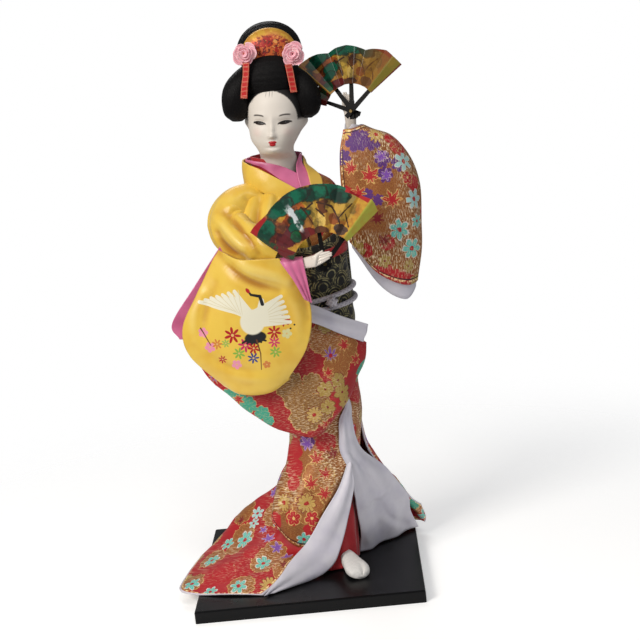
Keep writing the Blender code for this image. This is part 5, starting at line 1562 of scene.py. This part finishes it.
hand("hand_raised", (46.4, -1.4, 241), (46.6, -3.6, 249.5), (44.8, -5.4, 259.8), (47.4, -4.6, 248.4),
     (49, -6.6, 255), (1, 0, 0.1), (0, 1, 0.1))
hand("hand_front", (13.4, -39.6, 178.6), (21, -45.5, 180.2), (30.4, -47.4, 183.2), (20.4, -45.6, 181.4),
     (26, -46.6, 185), (0.25, 0, 1), (0.1, 1, 0))
rows = tube(mm((46.2, 0.2, 234.6), (48, 0.6, 242.6)), np.array([4.2, 4.4]) * MM, 40, 12)
cloth("cuff_white_cloth", rows, RIBBON_THICK, white_satin, "cuff_white", wrap=True)


# Fans: pleated paper with a painted print, on black sticks
# Where each fan turns, its tilt, and its rim as angles and reaches, in degrees and millimetres
FANS = {
    "fan_raised": ((47.2, -11, 250), turned((-20, "Z"), (-8, "X")), 14, [
        (36.9, 35), (55, 35.4), (72.6, 31.6), (91.8, 33.8), (110, 32.5), (127, 36.7), (138, 37.4),
        (139.5, 22), (150, 21), (164, 20)]),
    "fan_front": ((26.2, -42.5, 177.6), turned((14, "Z"), (-4, "X")), 16, [
        (36.5, 38.1), (46, 40), (58.5, 38.4), (72, 40), (83, 40), (101, 40.4), (117, 40.1), (131.7, 38.6),
        (149.5, 41), (151, 37), (157.6, 25.4), (164, 20)]),
}
PLEAT, PLEAT_DEPTH, FULL_REACH = 18.2, 1.2, 37  # degrees, then millimetres at the full reach
DARK_TEAL, PAPER_GOLD, LIME = (0.006, 0.13, 0.07), (0.62, 0.34, 0.035), (0.40, 0.40, 0.05)
# The print, from the back to the front: angle, distance from the pivot, half width, half height, colour
FAN_PRINT = [
    (88, 27, 12, 9, (0.42, 0.20, 0.03)), (98, 33, 7, 5, PAPER_GOLD), (97, 26, 3, 8, (0.74, 0.46, 0.06)),
    (88, 22, 3, 5, (0.74, 0.50, 0.12)), (84, 29, 3, 4, EARTH), (66, 30, 8, 7, (0.58, 0.34, 0.05)),
    (62, 36, 3, 4, (0.55, 0.40, 0.12)), (72, 23, 4, 3, (0.30, 0.08, 0.015)),
    (112, 31, 5, 4, (0.45, 0.11, 0.02)), (106, 23, 4, 4, (0.36, 0.15, 0.03)),
    (124, 26, 7, 5, (0.30, 0.06, 0.015)), (140, 31, 5, 6, (0.40, 0.12, 0.02)), (90, 17, 8, 2.4, EARTH),
    (115, 18, 8, 3, (0.16, 0.015, 0.015)), (58, 19, 6, 3, (0.10, 0.05, 0.03)),
    (139, 24, 7, 6, (0.13, 0.012, 0.015)), (147, 32, 5, 5, (0.22, 0.03, 0.012)),
    (134, 29, 3, 3, (0.30, 0.07, 0.015)), (80, 37, 9, 4.6, DARK_TEAL), (93, 36, 6, 4, DARK_TEAL),
    (70, 34.5, 4, 3.4, (0.004, 0.07, 0.04)), (108, 37, 7, 3.6, DARK_TEAL), (122, 36, 6, 3.8, DARK_TEAL),
    (112, 27.5, 6, 3.2, DARK_TEAL), (120, 24, 5, 2.6, (0.004, 0.09, 0.05)), (143, 34, 5, 4, DARK_TEAL),
    (130, 20, 4, 3, (0.01, 0.12, 0.04)),
]
FAN_BOUGHS = [(60, 20, 76, 29, 0.35), (76, 29, 90, 31, 0.3), (66, 24, 58, 33, 0.3), (95, 31, 104, 29, 0.35),
              (84, 24, 92, 28, 0.35), (50, 22, 60, 27, 0.25), (100, 21, 106, 31, 0.35)]


def fan_look(name):
    """Glossy paper with dark green pine clouds, gold ground, brown boughs and a red border."""
    pivot, turn, _, _ = FANS[name]
    look = Look(name + "_paper", specular=0.4, coat=0.08)
    offset = look.offset(look.fixed(at(*pivot)))
    x, z = [look.dot(offset, look.fixed(turn.to_3x3() @ Vector(axis))) * 1000
            for axis in ((1, 0, 0), (0, 0, 1))]
    r = hypot(x, z)
    a = z.atan2(x) * (180 / math.pi)
    if name == "fan_raised":
        r = r * 1.12
    grain, fray = look.grain(160, 4, 0.6), look.grain(260, 3, 0.6)
    colour = look.mix(grain.step(0.38, 0.62), PAPER_GOLD, (0.40, 0.14, 0.02))
    for at_angle, at_r, wide, tall, fill in FAN_PRINT:
        dx, dz = (a - at_angle) * (0.5 / wide), (r - at_r) / tall
        far = hypot(dx, dz) + fray * 0.9 - 0.45
        if fill[1] > fill[0]:
            colour = look.mix(far.past(1.0, 1.12) * 0.85, colour, (0.015, 0.02, 0.01))
        colour = look.mix(far.past(0.86, 0.96), colour,
                          look.mix(grain.step(0.45, 0.62), fill, darker(fill, 0.35)))
    for a0, r0, a1, r1, wide in FAN_BOUGHS:
        far = from_line((a - a0) * 0.5, r - r0, (a1 - a0) * 0.5, r1 - r0)[0] + fray * 1.4 - 0.7
        colour = look.mix(far.past(wide - 0.1, wide + 0.2), colour, (0.05, 0.018, 0.008))
    held_front = name == "fan_front"
    side = LIME if held_front else (0.30, 0.24, 0.03)
    side = look.mix(grain.step(0.4, 0.6) * 0.5, side, (0.45, 0.26, 0.03))
    colour = look.mix(a.past(46.4, 47), colour, side)
    border = r.step(37.2, 37.6) * (a - 57).abs().past(9.5, 10.5).max(a.step(134, 136))
    colour = look.mix(border, colour, (0.42, 0.012, 0.016))
    last = a.step(150, 151) if held_front else a.step(138.4, 139)
    colour = look.mix(last, colour,
                      look.mix(grain.step(0.45, 0.55), (0.16, 0.012, 0.012), (0.02, 0.06, 0.02)))
    if held_front:
        # A painted highlight: a white streak of reflected light across the glossy paper
        gleam = (a - 121 + fray * 8).abs().past(2.0, 3.4) * r.step(19, 22) * r.past(33, 36)
        gleam = gleam * fray.step(0.35, 0.5)
        colour = look.mix(gleam, colour, (0.80, 0.84, 0.84))
    else:
        colour = look.mix((a - 137).abs().past(1.2, 1.6), colour, (0.50, 0.26, 0.03))
        colour = look.mix(a.past(60, 84) * a.step(46.4, 47) * 0.6, colour, (0.26, 0.10, 0.015))
        colour = look.mix(a.past(37.6, 38.2), colour, (0.20, 0.01, 0.01))
        # Painted shade: the whole raised fan is darker than the front one
        colour = look.shade(colour, 0.6)
    return look.done(colour, grain * 0.2 + 0.25)


def fan_leaf(name):
    """The leaf's flat pleats out to the rim, without what lies inside the hair."""
    pivot, turn, inner, rim = FANS[name]
    place = Matrix.Translation(at(*pivot)) @ turn
    angles, reaches = zip(*rim)
    rows = []
    for v in np.linspace(0, 1, 40):
        row = []
        for a in np.linspace(angles[0], angles[-1], 150):
            r = inner + (np.interp(a, angles, reaches) - inner) * v
            wave = 1 - 4 * abs(((a - angles[0]) / PLEAT) % 1 - 0.5)
            deep = -wave * PLEAT_DEPTH * r / FULL_REACH
            point = Vector((r * math.cos(math.radians(a)), deep, r * math.sin(math.radians(a))))
            row.append(place @ (point * MM))
        rows.append(row)
    bm = grid(np.array(rows))
    hair = [BVHTree.FromPolygons([v.co for v in p.data.vertices], [f.vertices for f in p.data.polygons])
            for p in PIECES if p.name.startswith("hair_")]

    def hidden(face):
        middle = face.calc_center_median()
        near = [tree.find_nearest(middle) for tree in hair]
        return any((middle - place).dot(normal) < -0.6 * MM for place, normal, _, _ in near)

    bmesh.ops.delete(bm, geom=[f for f in bm.faces if hidden(f)], context="FACES")
    piece = mesh_piece(name + "_leaf_paper", bm, fan_look(name), name + "_leaf",
                       smooth_faces=False)
    thicken(piece, PAPER_THICK)


for name in FANS:
    fan_leaf(name)


# Feet, plinth, wires, sticks and rivets: the CAD shapes that are right keep theirs
def plain_look(name, colour, rough, metal=0.0, grain=0.0, scale=300, specular=0.5):
    """A plain surface with a cloudy shade, and a grain if its depth is given."""
    look = Look(name, metal=metal, specular=specular)
    cloudy = look.grain(scale, 3)
    colour = look.mix(cloudy, colour, darker(colour, 0.75))
    return look.done(colour, cloudy * 0.12 + rough - 0.06, bump=cloudy if grain else None, deep=grain)


def finish_node(material, *names):
    for name in names:
        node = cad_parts[name]
        node.data.materials.clear()
        node.data.materials.append(material)


sock = plain_look("white_sock", (0.80, 0.78, 0.75), 0.7, grain=0.1, scale=900)


def foot(node, heel, toe):
    """A split-toe sock that stands on the plinth."""
    heel, toe = np.array(heel, float), np.array(toe, float)
    ahead = (toe - heel) / np.linalg.norm(toe - heel)
    side = np.array((-ahead[1], ahead[0], 0.0))
    shares = smooth([(0, 1.6, 5), (0.06, 3.1, 8), (0.25, 4.2, 8.6), (0.5, 5.2, 7.6), (0.78, 6.4, 6.4),
                     (0.94, 5.2, 4.8), (1, 2.6, 3)], 60)
    rings = []
    for share, half, tall in shares:
        middle = heel + (toe - heel) * share
        middle[2] = GROUND + 0.3 + tall / 2
        loop = ring(middle * MM, side * half * MM, np.array((0, 0, tall / 2 * MM)), 48, 2.6)
        cleft = max(0, share - 0.72) / 0.28
        for point in loop:
            place = (point / MM - middle) @ side / half
            point[2] -= cleft * 1.6 * MM * bell(place - 0.3, 0.13) * (point[2] > middle[2] * MM)
        rings.append(loop)
    mesh_piece(node + "_sock", grid(rings, wrap=True, cap=True), sock, node)


foot("foot_left", (18.2, -11.6, 0), (27.6, -37.6, 0))
foot("foot_right", (6.5, 3.5, 0), (6.5, -18.6, 0))
finish_node(plain_look("black_lacquer_gloss", (0.004, 0.004, 0.0045), 0.28, scale=25, specular=0.14),
            "plinth")
finish_node(plain_look("steel_rod", (0.5, 0.5, 0.5), 0.35, 1.0), "leg_wire_left", "leg_wire_right")
finish_node(plain_look("fan_black_lacquer", (0.006, 0.005, 0.005), 0.6, specular=0.15),
            *[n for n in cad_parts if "_stick_" in n])
finish_node(plain_look("rivet_brass_dull", (0.10, 0.07, 0.03), 0.4, 1.0), "fan_front_rivet",
            "fan_raised_rivet")


# Floor, backdrop light and lamps
def studio():
    bm = bmesh.new()
    bmesh.ops.create_grid(bm, x_segments=1, y_segments=1, size=6)
    mesh = bpy.data.meshes.new("floor")
    bm.to_mesh(mesh)
    bm.free()
    floor = bpy.data.objects.new("floor", mesh)
    scene.collection.objects.link(floor)
    paper = Look("pale_floor", rough=0.8, specular=0.2)
    paper.put("Base Color", (0.9, 0.9, 0.9))
    paper.put("Emission Color", (1, 1, 1))
    paper.put("Emission Strength", 0.3)
    # It fades out into the backdrop, in millimetres from the middle
    x, y, _ = paper.split(paper.object)
    paper.put("Alpha", hypot(x, y).past(120, 420))
    mesh.materials.append(paper.material)
    world = bpy.data.worlds.new("studio")
    scene.world = world
    world.use_nodes = True
    tree = world.node_tree
    tree.nodes.clear()
    out, mix, seen, lit, path = [tree.nodes.new("ShaderNode" + kind) for kind in (
        "OutputWorld", "MixShader", "Background", "Background", "LightPath")]
    seen.inputs[0].default_value, seen.inputs[1].default_value = (1, 1, 1, 1), 1.0
    lit.inputs[0].default_value, lit.inputs[1].default_value = (0.95, 0.97, 1, 1), 0.23
    tree.links.new(path.outputs["Is Camera Ray"], mix.inputs[0])
    tree.links.new(lit.outputs[0], mix.inputs[1])
    tree.links.new(seen.outputs[0], mix.inputs[2])
    tree.links.new(mix.outputs[0], out.inputs[0])
    # Name, place, size, power and tint of each lamp
    for name, place, size, watts, tint in (
        ("key", (-0.6, -0.7, 0.7), 0.4, 8.6, (1, 0.96, 0.9)),
        ("fill", (0.8, -0.6, 0.45), 0.7, 1.0, (0.95, 0.97, 1)),
        ("back", (-0.2, 0.8, 0.9), 0.5, 2.5, (1, 1, 1)),
        ("glint", (0.15, -0.5, 0.95), 0.25, 1.6, (1, 0.98, 0.95)),
    ):
        light = bpy.data.lights.new(name, "AREA")
        light.size, light.energy, light.color = size, watts, tint
        lamp = bpy.data.objects.new(name, light)
        lamp.location = place
        lamp.rotation_euler = (Vector((0, 0, 0.14)) - Vector(place)).to_track_quat("-Z", "Y").to_euler()
        scene.collection.objects.link(lamp)


studio()
